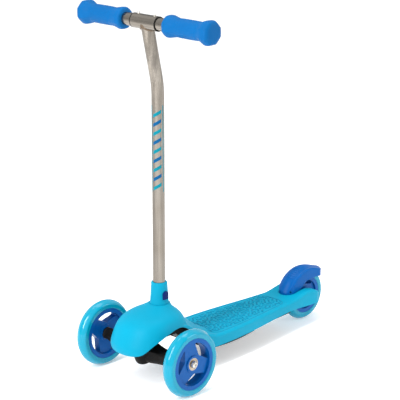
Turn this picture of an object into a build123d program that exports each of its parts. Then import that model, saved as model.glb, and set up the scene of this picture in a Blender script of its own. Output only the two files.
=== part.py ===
from build123d import *

# Child's three-wheeled kick scooter: a moulded deck with a nose cowl, a lean-to-steer front truck,
# a plug-in steel handlebar, and a rear wheel under a spring-returned foot brake.
#
# Frame: X across the scooter, towards the rider's left hand; Y from front to back; Z up from the floor.
# Stations along the scooter are measured back from the front axle; save() moves them to row Y.
import os
from math import cos, radians, sin, sqrt

# ---- driving dimensions, in millimetres and degrees ----
FRONT_WHEEL_D = 120.0
FRONT_WHEEL_W = 23.0
REAR_WHEEL_D = 100.0
REAR_WHEEL_W = 22.0
TRACK = 215.0  # between the front wheels' middle planes
WHEELBASE = 425.0
TYRE_THICKNESS = 14.0
HUB_INSET = 1.0  # hub narrower than its tyre, each side
HUB_RIM_WALL = 7.5
HUB_WEB_RECESS = 4.0
HUB_BOSS_RECESS = 2.0
HUB_BOSS_R = 14.5
SPOKE_HALF_ANGLE = 19.0  # at the rim
SPOKE_ROOT_R = 19.5
HUB_WINDOW_LIP = 0.8  # web left between a window and the rim
BEARING_OD = 22.0
BEARING_W = 7.0
AXLE_D = 8.0
RUNNING_CLEARANCE = 0.05
END_FLOAT = 0.1
WASHER_T = 1.0
BOLT_HEAD_D = 13.0
BOLT_HEAD_T = 4.4

DECK_TOP = 61.0
DECK_BOTTOM = 40.0
DECK_W = 109.0
TAIL_W = 72.0
DECK_WALL = 3.2
DECK_EDGE_R = 5.0
ARM_REACH = 18.0  # of the tail arms, past the rear axle
ARM_CREST = 7.5  # of the tail arms, above the deck
HOLLOW_END = 74.0  # end of the deck's hollow, in front of the rear axle
PAN_T = 3.0
PAN_GAP = 0.4  # between the pan and the deck's wall
PAN_DROP = 1.2  # of the pan, below the deck's edge
PAN_BELLY = 2.8  # of the pan's bulge behind the front axle, below the deck's edge
BOSS_R = 4.6
SCREW_D = 4.0

NECK_STATION = 34.6
NECK_Z = 134.0
NECK_R = 18.8
NOSE_WALL = 3.0
COLLAR_H = 39.5  # above the neck
COLLAR_FOOT_Z = 88.0
COLLAR_TOP_R = 14.2
COLLAR_FOOT_R = 16.6
SOCKET_CLEARANCE = 0.1
TOWER_R = 21.5

STEM_D = 22.2
STEM_WALL = 1.5
STEM_FOOT_Z = 90.0
STEM_STRAIGHT = 349.0  # above the collar, to the corner of the bend
STEM_BEND = 12.4
STEM_UPPER = 114.5
STEM_BEND_R = 150.0
SLEEVE_D = 25.4
SLEEVE_L = 56.0
TUBE_FIT = 0.1  # radial, grip tube in sleeve
GRIP_TUBE_START = 4.0
GRIP_START = 49.5
GRIP_END = 154.0
GRIP_END_WALL = 4.0
GRIP_WAIST_R = 15.8
GRIP_FLANGE_R = 19.2
GRIP_BULB_R = 21.2
SNAP_PIN_D = 5.4
SNAP_PIN_X = 19.0
SNAP_PIN_PROUD = 3.0
SNAP_TRAVEL = 4.7
PIN_FIT = 0.1

BUTTON_W = 12.5
BUTTON_H = 15.0
BUTTON_Z = 151.0
BUTTON_PROUD = 2.4
BUTTON_TRAVEL = 2.2
BUTTON_GAP = 0.25
LATCH_PIN_D = 6.6

KINGPIN_TILT = 25.0  # leaning forward at its top
KINGPIN_STATION = -8.0
KINGPIN_Z = 53.0
KINGPIN_D = 8.0
DRUM_R = 17.0
DRUM_DOWN = 17.0
DRUM_UP = 10.0
THRUST_T = 1.6
SEAT_T = 8.0
STEER_LIMIT = 15.0
ARM_ROOT_H = 34.0
ARM_MID_H = 24.5
ARM_TIP_D = 21.0
ARM_MID_X = 52.0

FENDER_W = 37.0
FENDER_WALL = 2.6
FENDER_GAP = 2.4  # between brake plate and tyre, with the brake up
BRAKE_PLATE_T = 1.0
SLOT_GAP = 1.0  # between fender and tail arm
BRAKE_PIVOT_AHEAD = 61.0  # of the rear axle
BRAKE_PIVOT_Z = 51.0
BRAKE_PIN_D = 5.0
KNUCKLE_R = 4.6

front_r = FRONT_WHEEL_D / 2
rear_r = REAR_WHEEL_D / 2
NOSE_REACH = 58.4  # of the cowl, in front of the front axle
mid_station = (WHEELBASE + rear_r - max(front_r, NOSE_REACH)) / 2
wheel_x = TRACK / 2
collar_top_z = NECK_Z + COLLAR_H
bend_z = collar_top_z + STEM_STRAIGHT
bar_station = NECK_STATION - STEM_UPPER * sin(radians(STEM_BEND))
bar_z = bend_z + STEM_UPPER * cos(radians(STEM_BEND))
stem_r = STEM_D / 2
sleeve_r = SLEEVE_D / 2
grip_tube_r = sleeve_r - STEM_WALL - TUBE_FIT
slot_half = FENDER_W / 2 + SLOT_GAP
hollow_back = WHEELBASE - HOLLOW_END
pivot_station = WHEELBASE - BRAKE_PIVOT_AHEAD
pan_top = DECK_BOTTOM - PAN_DROP + PAN_T
FAR = 900.0  # longer than any cut needs


# ---------------------------------------------------------------- helpers
def tube_x(radius, x0, x1, station=0.0, z=0.0):
    """Cylinder along X, from x0 to x1."""
    return Pos((x0 + x1) / 2, station, z) * Rot(0, 90, 0) * Cylinder(radius, abs(x1 - x0))


def rod(radius, z0, z1):
    """Cylinder along Z, from z0 to z1."""
    return Pos(0, 0, (z0 + z1) / 2) * Cylinder(radius, abs(z1 - z0))


def revolve_x(points):
    """Solid of revolution about the X axis, from an outline of (x, radius) points."""
    return revolve(make_face(Polyline(*[(x, 0, r) for x, r in points], close=True)), Axis.X)


def extrude_x(outline, half, centre=0.0):
    """Prism across the scooter, from a (station, z) sketch."""
    return Pos(centre - half, 0, 0) * extrude(Plane.YZ * outline, 2 * half)


def coil(radius, wire, length, turns):
    """Round-wire helical spring along Z, centred on the origin."""
    path = Helix(pitch=length / turns, height=length, radius=radius)
    start = path @ 0
    section = Plane(origin=start, z_dir=path % 0) * Circle(wire / 2)
    return Pos(0, 0, -length / 2) * sweep(section, path=path)


def on_kingpin(shape):
    """Places a shape drawn along Z onto the leaning kingpin axis."""
    return Pos(0, KINGPIN_STATION, KINGPIN_Z) * Rot(KINGPIN_TILT, 0, 0) * shape


def at_bar(shape):
    """Places a shape drawn about the X axis onto the handlebar's axis."""
    return Pos(0, bar_station, bar_z) * shape


# ---------------------------------------------------------------- wheels
def tyre(radius, width):
    """Cast urethane tyre, round at its crown."""
    rim_r = radius - TYRE_THICKNESS
    half = width / 2
    chamfer = 1.2
    edge_r = rim_r + TYRE_THICKNESS * 0.42
    right = Spline((half, 0, edge_r), (half * 0.62, 0, radius - 2.4), (0, 0, radius),
                   tangents=((0.05, 0, 1), (-1, 0, 0)))
    left = Spline((0, 0, radius), (-half * 0.62, 0, radius - 2.4), (-half, 0, edge_r),
                  tangents=((-1, 0, 0), (-0.05, 0, -1)))
    rest = Polyline((-half, 0, edge_r), (-half, 0, rim_r + chamfer), (-half + chamfer, 0, rim_r),
                    (half - chamfer, 0, rim_r), (half, 0, rim_r + chamfer), (half, 0, edge_r))
    return revolve(make_face(right + left + rest), Axis.X)


def hub_half(width):
    return width / 2 - HUB_INSET


def boss_half(width):
    return hub_half(width) - HUB_BOSS_RECESS


def hub_window(radius):
    """One opening between two spokes, pointing along +Y, as a sketch of (station, z)."""
    inner_r = radius - TYRE_THICKNESS - HUB_RIM_WALL - HUB_WINDOW_LIP
    half_angle = radians(60.0 - SPOKE_HALF_ANGLE)
    a = (inner_r * cos(half_angle), inner_r * sin(half_angle))
    b = (a[0], -a[1])
    root = SPOKE_ROOT_R
    edge = Polyline(b, (root, 0), a) + ThreePointArc(a, (inner_r, 0), b)
    shape = make_face(edge)
    return fillet(shape.vertices(), 2.2)


def hub(radius, width):
    """Three-spoked moulded hub: deep rim, recessed spokes, and a boss with two bearing seats."""
    rim_r = radius - TYRE_THICKNESS
    inner_r = rim_r - HUB_RIM_WALL
    half = hub_half(width)
    web = half - HUB_WEB_RECESS
    boss = boss_half(width)
    body = tube_x(rim_r, -half, half)
    for side in (1, -1):
        body -= tube_x(inner_r, side * web, side * (half + 1))
    body += tube_x(HUB_BOSS_R, -boss, boss)
    window = extrude_x(hub_window(radius), half + 1)
    for third in range(3):
        body -= Rot(60 + 120 * third, 0, 0) * window
    body -= tube_x(BEARING_OD / 2 - 2, -half, half)
    for side in (1, -1):
        body -= tube_x(BEARING_OD / 2, side * (boss - BEARING_W), side * half)
    return body


def bearings(width):
    """Two shielded ball bearings in the hub's seats."""
    boss = boss_half(width)
    pair = []
    for side in (1, -1):
        ring = tube_x(BEARING_OD / 2, side * (boss - BEARING_W), side * boss)
        for face in (boss, boss - BEARING_W):
            ring -= tube_x(9.0, side * (face - 0.5), side * (face + 0.5)) - tube_x(6.2, -FAR, FAR)
        pair.append(ring - tube_x(AXLE_D / 2 + RUNNING_CLEARANCE, -FAR, FAR))
    return pair


def bearing_spacer(width):
    """Tube between the two bearings' inner races."""
    reach = boss_half(width) - BEARING_W
    return tube_x(6.0, -reach, reach) - tube_x(AXLE_D / 2 + RUNNING_CLEARANCE, -FAR, FAR)


def washer(x0, x1, outer=6.0):
    """Axle washer or spacer sleeve."""
    return tube_x(outer, x0, x1) - tube_x(AXLE_D / 2 + RUNNING_CLEARANCE, -FAR, FAR)


def cap_bolt(x_head, x_end, key=5.0):
    """Button-head bolt along X: under-head face at x_head, tip at x_end."""
    side = 1 if x_head > x_end else -1
    head = revolve_x([(0, 0), (side * BOLT_HEAD_T, 0), (side * BOLT_HEAD_T, BOLT_HEAD_D * 0.30),
                      (side * BOLT_HEAD_T * 0.62, BOLT_HEAD_D * 0.44), (0, BOLT_HEAD_D / 2)])
    recess = Rot(0, 90, 0) * extrude(RegularPolygon(key / sqrt(3), 6), 2 * (BOLT_HEAD_T - 1.6), both=True)
    head -= Pos(side * 2 * BOLT_HEAD_T - side * 1.6, 0, 0) * (recess & tube_x(FAR, -BOLT_HEAD_T, BOLT_HEAD_T))
    shank = tube_x(AXLE_D / 2, x_head, x_end)
    tip = shank.edges().sort_by(Axis.X)[0 if side > 0 else -1]
    return Pos(x_head, 0, 0) * head + chamfer(tip, 0.8)


# ---------------------------------------------------------------- deck and cowl
# Level, half width, half length, centre station and squareness of the cowl's plan outlines.
NOSE_LEVELS = (
    (50.0, 60.5, 70.5, 12.5, 2.3),
    (66.0, 62.0, 71.5, 12.5, 2.3),
    (86.0, 59.5, 68.5, 12.5, 2.3),
    (101.0, 55.5, 62.5, 13.5, 2.3),
    (112.0, 50.5, 56.0, 15.5, 2.2),
    (120.0, 42.5, 46.0, 19.5, 2.1),
    (126.0, 31.5, 33.0, 25.5, 2.0),
    (131.0, 23.0, 23.5, 31.5, 2.0),
    (134.0, 19.6, 19.6, 34.6, 2.0),
)


def squarish(half_w, half_l, power):
    """Closed rounded outline between an ellipse and a rectangle."""
    points = []
    steps = 24
    for i in range(steps):
        angle = 2 * 3.141592653589793 * (i + 0.5) / steps
        c, s = cos(angle), sin(angle)
        reach = (abs(c) ** power + abs(s) ** power) ** (-1 / power)
        points.append((half_w * reach * c, half_l * reach * s))
    return make_face(Spline(*points, periodic=True))


def nose(inset):
    """Solid cowl shape, smaller by inset all round."""
    lift = NOSE_REACH - 59.0
    sections = []
    for level, half_w, half_l, station, power in NOSE_LEVELS:
        z = level - inset if level > 90 else level
        outline = squarish(half_w - inset, half_l + lift - inset, power)
        sections.append(Pos(0, station, z) * outline)
    return loft(sections)


def spine_top(inset):
    """Upper edge of the platform's sides: high under the cowl, flat along the deck, humped at the tail."""
    t = DECK_TOP - inset
    tail = WHEELBASE
    front = Spline((20, t + 43), (36, t + 42.5), (50, t + 40), (62, t + 33.5), (76, t + 23.5), (90, t + 15),
                   (104, t + 8.5), (120, t + 3.2), (142, t), tangents=((1, 0), (1, 0)))
    level = Line((142, t), (tail - 74, t))
    crest = Spline((tail - 74, t), (tail - 51, t + 3.0), (tail - 25, t + ARM_CREST),
                   (tail - 5, t + ARM_CREST - 2.0), (tail + 10, t - 1.0),
                   (tail + ARM_REACH + 10, t - 14.0), tangents=((1, 0), (1, -0.9)))
    return front + level + crest


def platform(inset):
    """Deck with its upswept front and tail arms, before the underside is cut."""
    low = -5.0
    end = WHEELBASE + ARM_REACH
    top = spine_top(inset)
    side = make_face(top + Polyline((end + 10, DECK_TOP - inset - 14.0), (end + 10, low), (20, low),
                                    (20, DECK_TOP - inset + 43)))
    wide = DECK_W / 2 - inset
    tail = TAIL_W / 2 - inset
    right = Spline((wide - 3.5, 20), (wide - 1.2, 62), (wide, 105), (wide, 170), (wide - 3.4, 222),
                   (wide - 7.6, 262), (wide - 11.8, 300), (wide - 15.6, 342), (tail + 0.8, WHEELBASE - 50),
                   (tail, WHEELBASE - 12), tangents=((0.1, 1), (0, 1)))
    cap = Spline((tail, WHEELBASE - 12), (tail - 4.5, end - 6.5), (tail - 19, end), tangents=((0, 1), (-1, 0)))
    half = right + cap + Polyline((tail - 19, end), (0, end), (0, 20), (wide - 3.5, 20))
    plan = make_face(half)
    plan = plan + mirror(plan, Plane.YZ)
    body = extrude(Pos(0, 0, low) * plan, 160) & extrude_x(side, 200)
    return body


def edge_rounded(body, radius):
    """Rounds the upper edges that run along the platform's sides, a half at a time."""
    right = body & Box(FAR, 2 * FAR, FAR, align=(Align.MIN, Align.CENTER, Align.CENTER))
    long_edges = [e for e in right.edges()
                  if e.center().X > 20 and e.center().Z > DECK_BOTTOM + 6 and e.length > 12
                  and abs((e % 0.5).Y) > 0.5]
    right = fillet(long_edges, radius)
    return right + mirror(right, Plane.YZ)


# Station, peak height above the deck and fullness of the saddle that runs from the neck to the deck.
SADDLE = (
    (26.0, 71.0, 0.62),
    (44.0, 70.0, 0.60),
    (56.0, 66.5, 0.56),
    (66.0, 57.0, 0.54),
    (75.0, 47.0, 0.52),
    (86.0, 37.0, 0.50),
    (98.0, 27.0, 0.50),
    (112.0, 16.0, 0.50),
    (126.0, 7.0, 0.50),
    (141.0, 1.0, 0.50),
    (152.0, -1.6, 0.50),
)


def side_height(station):
    """Height of the platform's upper edge above the deck, by linear reading of its outline."""
    table = ((20, 43), (36, 42.5), (50, 40), (62, 33.5), (76, 23.5), (90, 15), (104, 8.5), (120, 3.2),
             (142, 0), (200, 0))
    for (a, ha), (b, hb) in zip(table, table[1:]):
        if a <= station <= b:
            return ha + (hb - ha) * (station - a) / (b - a)
    return 0.0


def saddle(inset):
    """Bell-shaped ridge between the neck and the deck."""
    sections = []
    half = DECK_W / 2 - 8.0 - inset
    for station, peak, full in SADDLE:
        edge = side_height(station) - 2.2
        rise = peak - edge
        base = DECK_TOP - inset
        foot = base + edge - 5.0
        crown = Spline((-half, base + edge), (-half * full, base + edge + rise * 0.5), (0, base + edge + rise),
                       (half * full, base + edge + rise * 0.5), (half, base + edge))
        rest = Polyline((half, base + edge), (half, foot), (-half, foot), (-half, base + edge))
        sections.append(Plane(origin=(0, station, 0), x_dir=(1, 0, 0), z_dir=(0, -1, 0))
                        * make_face(crown + rest))
    return loft(sections, ruled=False)


def underside():
    """Everything below the moulding's lower edge: the arch over the front axle and the deck's underside."""
    low = DECK_BOTTOM
    front = -NOSE_REACH - 20
    tail = WHEELBASE
    arch = Spline((front, 58), (-52, 64.5), (-38, 77), (-20, 88.5), (8, 99), (30, 101.5), (50, 95),
                  (64, 84), (78, 70), (98, 52), (124, low), tangents=((1, 0.1), (1, -0.15)))
    base = Spline((124, low), (220, low + 0.6), (320, low + 2.6), (tail - 60, low + 2.6),
                  (tail - 22, low - 0.6), (tail - 2, low - 0.8), (tail + ARM_REACH - 2, low + 3.2),
                  (tail + ARM_REACH + 6, low + 18), tangents=((1, 0), (0.2, 1)))
    close = Polyline((tail + ARM_REACH + 6, low + 18), (tail + 60, low + 18), (tail + 60, -80),
                     (front, -80), (front, 58))
    return extrude_x(make_face(arch + base + close), 200)


def fender_plan(grow):
    """The fender's outline from above: round at the front, rounded at the tail."""
    half = FENDER_W / 2 + grow
    front = WHEELBASE - 40.5
    back = WHEELBASE + 45
    nose_arc = ThreePointArc((-half, front), (0, front - half), (half, front))
    tail_arc = ThreePointArc((half, back - 18), (0, back + grow), (-half, back - 18))
    return make_face(nose_arc + tail_arc + Line((half, front), (half, back - 18))
                     + Line((-half, back - 18), (-half, front)))


def fender_pocket():
    """Room for the fender, its hinge and the wheel, between the tail arms and under the deck's skin."""
    through = extrude(Pos(0, 0, -5) * fender_plan(SLOT_GAP), 200)
    open_back = Pos(0, WHEELBASE, 0) * Box(2 * slot_half, FAR, 300, align=(Align.CENTER, Align.MIN, Align.CENTER))
    under = Pos(0, pivot_station - KNUCKLE_R - 2.2, -5) * Box(
        2 * slot_half, FAR, DECK_TOP - DECK_WALL + 5, align=(Align.CENTER, Align.MIN, Align.MIN))
    return through + open_back + under


SCREW_PLACES = ((34.0, 136.0), (38.0, 205.0), (29.0, 318.0))


def screw_spots():
    return [(side * x, y) for x, y in SCREW_PLACES for side in (1, -1)]


def deck_shell():
    """One moulding: nose cowl, neck, saddle, deck and tail arms, open underneath."""
    body = edge_rounded(platform(0.0), DECK_EDGE_R) + nose(0.0) + saddle(0.0)
    body -= underside()
    body += Pos(0, NECK_STATION, 0) * rod(NECK_R, 116, NECK_Z)
    hollow = platform(DECK_WALL) & Pos(0, 0, -20) * Box(400, hollow_back, 400, align=(
        Align.CENTER, Align.MIN, Align.MIN))
    body -= hollow
    body -= nose(NOSE_WALL)
    body -= saddle(NOSE_WALL)
    for x, y in screw_spots():
        body += Pos(x, y, 0) * rod(BOSS_R, pan_top + 0.1, DECK_TOP - 1)
        body -= Pos(x, y, 0) * rod(SCREW_D / 2, 0, DECK_TOP - 7)
    body -= Pos(0, NECK_STATION, 0) * rod(COLLAR_FOOT_R + SOCKET_CLEARANCE, 90, 200)
    body -= fender_pocket()
    body -= tube_x(AXLE_D / 2, -TAIL_W, TAIL_W / 2 - 6, WHEELBASE, rear_r)
    body -= tube_x(BOLT_HEAD_D / 2 + 0.5, -TAIL_W, -TAIL_W / 2 + 6, WHEELBASE, rear_r)
    body -= nut_pocket()
    body -= tube_x(BRAKE_PIN_D / 2, -slot_half - 6, slot_half + 6, pivot_station, BRAKE_PIVOT_Z)
    return body


def nut_pocket():
    """Pocket for the rear axle's captive nut, open underneath."""
    half = 6.6
    top = rear_r + 7.6
    return Pos(slot_half + 4, WHEELBASE, top) * Box(7.0, 2 * half, 60, align=(
        Align.MIN, Align.CENTER, Align.MAX))


def pan_outline(margin):
    """Plan of the deck's hollow, smaller by margin."""
    wide = DECK_W / 2 - margin
    end = hollow_back - 0.4
    right = Spline((wide, 108), (wide, 170), (wide - 3.4, 222), (wide - 7.6, 262), (wide - 11.8, 300),
                   (wide - 15.2, end), tangents=((0, 1), (-0.09, 1)))
    half = make_face(right + Polyline((wide - 15.2, end), (0, end), (0, 108), (wide, 108)))
    return half + mirror(half, Plane.YZ)


def underframe():
    """Black frame: pan under the deck, ribs, the riser inside the cowl, the socket tower and the kingpin seat."""
    low = DECK_BOTTOM - PAN_DROP
    gap = DECK_WALL + PAN_GAP
    pan = extrude(Pos(0, 0, low) * pan_outline(gap + 1.2), PAN_T)
    lip = DECK_BOTTOM - PAN_GAP
    belly = make_face(ThreePointArc((118, lip - 0.6), (170, lip - PAN_BELLY), (232, lip - 0.6))
                      + Polyline((232, lip - 0.6), (232, lip), (118, lip), (118, lip - 0.6)))
    pan += extrude(Pos(0, 0, low - 10) * pan_outline(1.5), 20) & extrude_x(belly, 80)
    skin = DECK_TOP - DECK_WALL - 0.2
    ribs = Part()
    for x in (-14.0, 14.0):
        ribs += Pos(x, 100, pan_top - 1) * Box(2.6, hollow_back - 104, skin - pan_top + 1, align=(
            Align.CENTER, Align.MIN, Align.MIN))
    for y in (170.0, 240.0, 290.0):
        ribs += Pos(0, y, pan_top - 1) * Box(52, 2.6, 9, align=(Align.CENTER, Align.CENTER, Align.MIN))
    riser_side = make_face(Polyline(
        (24, 78), (50, 78), (64, 68), (79, 58), (95, 48), (108, low), (132, low), (132, skin),
        (112, skin + 1.5), (98, skin + 6), (86, skin + 14), (74, 84), (66, 92), (58, 100), (24, 100), close=True))
    riser = extrude_x(riser_side, 25.0)
    riser -= Pos(0, 104, pan_top) * Box(44, 60, 60, align=(Align.CENTER, Align.MIN, Align.MIN))
    tower = Pos(0, NECK_STATION, 0) * rod(TOWER_R, 78, 115)
    seat = on_kingpin(rod(14.5, DRUM_UP + THRUST_T + 2 * END_FLOAT, DRUM_UP + THRUST_T + 2 * END_FLOAT + SEAT_T))
    seat_low = DRUM_UP + THRUST_T + 2 * END_FLOAT
    c, s = cos(radians(KINGPIN_TILT)), sin(radians(KINGPIN_TILT))

    def along(w, v):
        return (KINGPIN_STATION - w * s + v * c, KINGPIN_Z + w * c + v * s)

    neck_side = make_face(Polyline(along(seat_low, -2), along(seat_low, 14.5), (14, 80), (30, 78), (30, 100),
                                   (16, 100), along(seat_low + SEAT_T + 12, 6), along(seat_low + SEAT_T, -2),
                                   close=True))
    arm = extrude_x(neck_side, 12.0)
    body = pan + ribs + riser + tower + seat + arm
    body -= on_kingpin(rod(9.5, seat_low + SEAT_T, 90))
    body -= on_kingpin(rod(KINGPIN_D / 2 + RUNNING_CLEARANCE, 0, 60))
    body -= Pos(0, NECK_STATION, 0) * rod(COLLAR_FOOT_R + SOCKET_CLEARANCE, COLLAR_FOOT_Z, 200)
    for x, y in screw_spots():
        body -= Pos(x, y, 0) * rod(SCREW_D / 2 + 0.3, 0, 60)
        body -= Pos(x, y, 0) * rod(4.3, 0, low + 1.4)
    return body


def deck_screws():
    """Screws from below, through the pan into the deck's bosses."""
    low = DECK_BOTTOM - PAN_DROP
    screws = []
    for x, y in screw_spots():
        screw = rod(4.0, low + 0.2, low + 1.4) + rod(SCREW_D / 2, low + 1.4, DECK_TOP - 9)
        screw -= rod(1.6, low, low + 0.9)
        screws.append(Pos(x, y, 0) * screw)
    return screws


# ---------------------------------------------------------------- handlebar
def collar_r(z):
    """Outer radius of the stem collar at a height."""
    return COLLAR_FOOT_R + (COLLAR_TOP_R - COLLAR_FOOT_R) * (z - NECK_Z) / COLLAR_H


def stem_collar():
    """Tapered socket that holds the stem, with the release button's pocket."""
    body = revolve(make_face(Polyline(
        (0, 0, COLLAR_FOOT_Z), (COLLAR_FOOT_R, 0, COLLAR_FOOT_Z), (COLLAR_FOOT_R, 0, NECK_Z),
        (collar_r(collar_top_z - 1.5), 0, collar_top_z - 1.5), (COLLAR_TOP_R - 1.2, 0, collar_top_z),
        (0, 0, collar_top_z), close=True)), Axis.Z)
    body -= rod(stem_r + SOCKET_CLEARANCE, STEM_FOOT_Z, 300)
    pocket = extrude_x(button_outline(BUTTON_GAP), 10.0, stem_r + 1.2 + 10.0)
    body -= pocket
    body -= tube_x(LATCH_PIN_D / 2 + PIN_FIT, 0, 30, 0, BUTTON_Z)
    return Pos(0, NECK_STATION, 0) * body


def button_outline(grow):
    """Release button face, flat below and round above, as (across, z)."""
    half = BUTTON_W / 2 + grow
    low = BUTTON_Z - BUTTON_H / 2 - grow
    high = BUTTON_Z + BUTTON_H / 2 + grow
    spring = high - half * 0.75
    arc = ThreePointArc((half, spring), (0, high), (-half, spring))
    shape = make_face(arc + Polyline((-half, spring), (-half, low), (half, low), (half, spring)))
    return fillet(shape.vertices().sort_by(Axis.Y)[:2], 1.0)


def release_button():
    """Push button in the collar, with a stud that drives the latch pin."""
    face_r = collar_r(BUTTON_Z) + BUTTON_PROUD
    back = stem_r + 1.2 + BUTTON_TRAVEL + 0.1
    slab = extrude_x(button_outline(0.0), 8.0, back + 8.0) & rod(face_r, 100, 200)
    front = slab.faces().sort_by(Axis.X)[-1]
    slab = fillet(front.edges(), 1.0)
    slab += tube_x(LATCH_PIN_D / 2 - 0.3, stem_r + BUTTON_TRAVEL + 0.15, back + 0.5, 0, BUTTON_Z)
    return Pos(0, NECK_STATION, 0) * slab


def latch_pin():
    """Steel snap pin through the stem's wall into the collar."""
    inner = stem_r - STEM_WALL
    tip = stem_r + BUTTON_TRAVEL + 0.1
    pin = tube_x(LATCH_PIN_D / 2, inner - 1.6, tip, 0, BUTTON_Z) + tube_x(4.4, inner - 3.1, inner - 1.4, 0, BUTTON_Z)
    return Pos(0, NECK_STATION, 0) * pin


def hairpin(width, front, back, top, bottom, thick):
    """V-shaped leaf spring seen across the tube, from (reach, height) points, extruded by its width."""
    outer = Polyline((front, top), (front, bottom + 4), (front - 3, bottom), (front - 8, bottom),
                     (back, bottom + 5), (back, top - 4))
    return extrude(offset_line(outer, thick), width / 2, both=True)


def offset_line(line, thick):
    """Thin face to one side of an open line of (reach, height) points."""
    pieces = None
    points = [line @ 0] + [e @ 1 for e in line.edges()]
    for a, b in zip(points, points[1:]):
        leg = Plane.XZ * make_hull_pair((a.X, a.Y), (b.X, b.Y), thick)
        pieces = leg if pieces is None else pieces + leg
    return pieces


def make_hull_pair(a, b, thick):
    """Slot-shaped face round the segment from a to b."""
    centre = ((a[0] + b[0]) / 2, (a[1] + b[1]) / 2)
    length = sqrt((b[0] - a[0]) ** 2 + (b[1] - a[1]) ** 2)
    turn = Vector(1, 0, 0).get_signed_angle(Vector(b[0] - a[0], b[1] - a[1], 0), Vector(0, 0, 1))
    return Pos(*centre) * Rot(0, 0, turn) * SlotCenterToCenter(length, thick)


def latch_spring():
    """Hairpin spring behind the latch pin, inside the stem."""
    inner = stem_r - STEM_WALL
    front = inner - 3.1 - 0.4
    back = -(inner - BUTTON_TRAVEL - 0.9)
    spring = hairpin(5.0, front, back, BUTTON_Z + 4, BUTTON_Z - 26, 0.8)
    return Pos(0, NECK_STATION, 0) * spring


def stem_tube():
    """Bent steel steering tube, from its foot in the collar to the handlebar sleeve."""
    path = FilletPolyline((0, NECK_STATION, STEM_FOOT_Z + 0.1), (0, NECK_STATION, bend_z),
                          (0, bar_station, bar_z), radius=STEM_BEND_R)
    start = Plane(origin=path @ 0, z_dir=path % 0)
    outer = sweep(start * Circle(stem_r), path=path)
    inner = sweep(start * Circle(stem_r - STEM_WALL), path=path)
    body = outer - inner
    body -= at_bar(tube_x(sleeve_r, -60, 60))
    body -= tube_x(LATCH_PIN_D / 2 + PIN_FIT, 0, 30, NECK_STATION, BUTTON_Z)
    return body


def weld_bead():
    """Fillet weld round the joint of stem and sleeve."""
    lean = Pos(0, bar_station, bar_z) * Rot(STEM_BEND, 0, 0)
    ring = rod(stem_r + 1.9, -40, 0) - rod(stem_r, -50, 10)
    saddle_band = tube_x(sleeve_r + 1.6, -40, 40) - tube_x(sleeve_r, -50, 50)
    return lean * (ring & saddle_band)


def handlebar_sleeve():
    """Cross sleeve on top of the stem, with a snap-button hole near each end."""
    body = tube_x(sleeve_r, -SLEEVE_L / 2, SLEEVE_L / 2) - tube_x(sleeve_r - STEM_WALL, -FAR, FAR)
    ends = body.edges().filter_by(GeomType.CIRCLE).filter_by(lambda e: e.radius > sleeve_r - 0.1)
    body = chamfer(ends, 0.6)
    for side in (1, -1):
        body -= Pos(side * SNAP_PIN_X, 0, 0) * rod(SNAP_PIN_D / 2 + PIN_FIT, 0, 30)
    return at_bar(body)


def grip_tube(side):
    """Inner tube that carries a grip and plugs into the sleeve."""
    end = GRIP_END - GRIP_END_WALL
    body = tube_x(grip_tube_r, side * GRIP_TUBE_START, side * end) - tube_x(grip_tube_r - STEM_WALL, -FAR, FAR)
    body -= Pos(side * SNAP_PIN_X, 0, 0) * rod(SNAP_PIN_D / 2 + PIN_FIT, 0, 30)
    return at_bar(body)


def snap_pin(side):
    """Domed snap button that locks a grip tube in the sleeve."""
    inner = grip_tube_r - STEM_WALL
    top = sleeve_r + SNAP_PIN_PROUD
    pin_r = SNAP_PIN_D / 2
    pin = rod(pin_r, inner - 2.2, top)
    pin = fillet(pin.edges().sort_by(Axis.Z)[-1], pin_r * 0.8)
    pin += rod(4.2, inner - 3.2, inner - 1.9)
    return at_bar(Pos(side * SNAP_PIN_X, 0, 0) * pin)


def snap_spring(side):
    """Hairpin spring under a snap button."""
    inner = grip_tube_r - STEM_WALL
    front = inner - 3.2 - 0.4
    back = -(inner - SNAP_TRAVEL - 0.9)
    spring = Rot(0, -90, 0) * hairpin(5.0, front, back, 4.0, -24.0, 0.8)
    if side < 0:
        spring = mirror(spring, Plane.YZ)
    return at_bar(Pos(side * SNAP_PIN_X, 0, 0) * spring)


def grip(side):
    """Moulded rubber grip: inner flange, waisted barrel with ribs, and a bulb end."""
    a, b = GRIP_START, GRIP_END
    inner_flange = Spline((a, 0, GRIP_FLANGE_R - 2.2), (a + 3.6, 0, GRIP_FLANGE_R), (a + 9, 0, GRIP_FLANGE_R - 2.4),
                          (a + 16, 0, GRIP_WAIST_R), tangents=((0.2, 0, 1), (1, 0, -0.1)))
    barrel = Spline((a + 16, 0, GRIP_WAIST_R), (a + 45, 0, GRIP_WAIST_R + 0.9), (b - 29, 0, GRIP_WAIST_R),
                    tangents=((1, 0, -0.1), (1, 0, 0.02)))
    bulb = Spline((b - 29, 0, GRIP_WAIST_R), (b - 20, 0, GRIP_WAIST_R + 2.6), (b - 9, 0, GRIP_BULB_R),
                  (b - 3, 0, GRIP_BULB_R - 3.0), (b, 0, GRIP_BULB_R - 8), tangents=((1, 0, 0.02), (0, 0, -1)))
    rest = Polyline((b, 0, GRIP_BULB_R - 8), (b, 0, 0), (a, 0, 0), (a, 0, GRIP_FLANGE_R - 2.2))
    body = revolve(make_face(inner_flange + barrel + bulb + rest), Axis.X)
    body -= tube_x(grip_tube_r, a - 1, b - GRIP_END_WALL)
    if side < 0:
        body = mirror(body, Plane.YZ)
    return at_bar(body)


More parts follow.
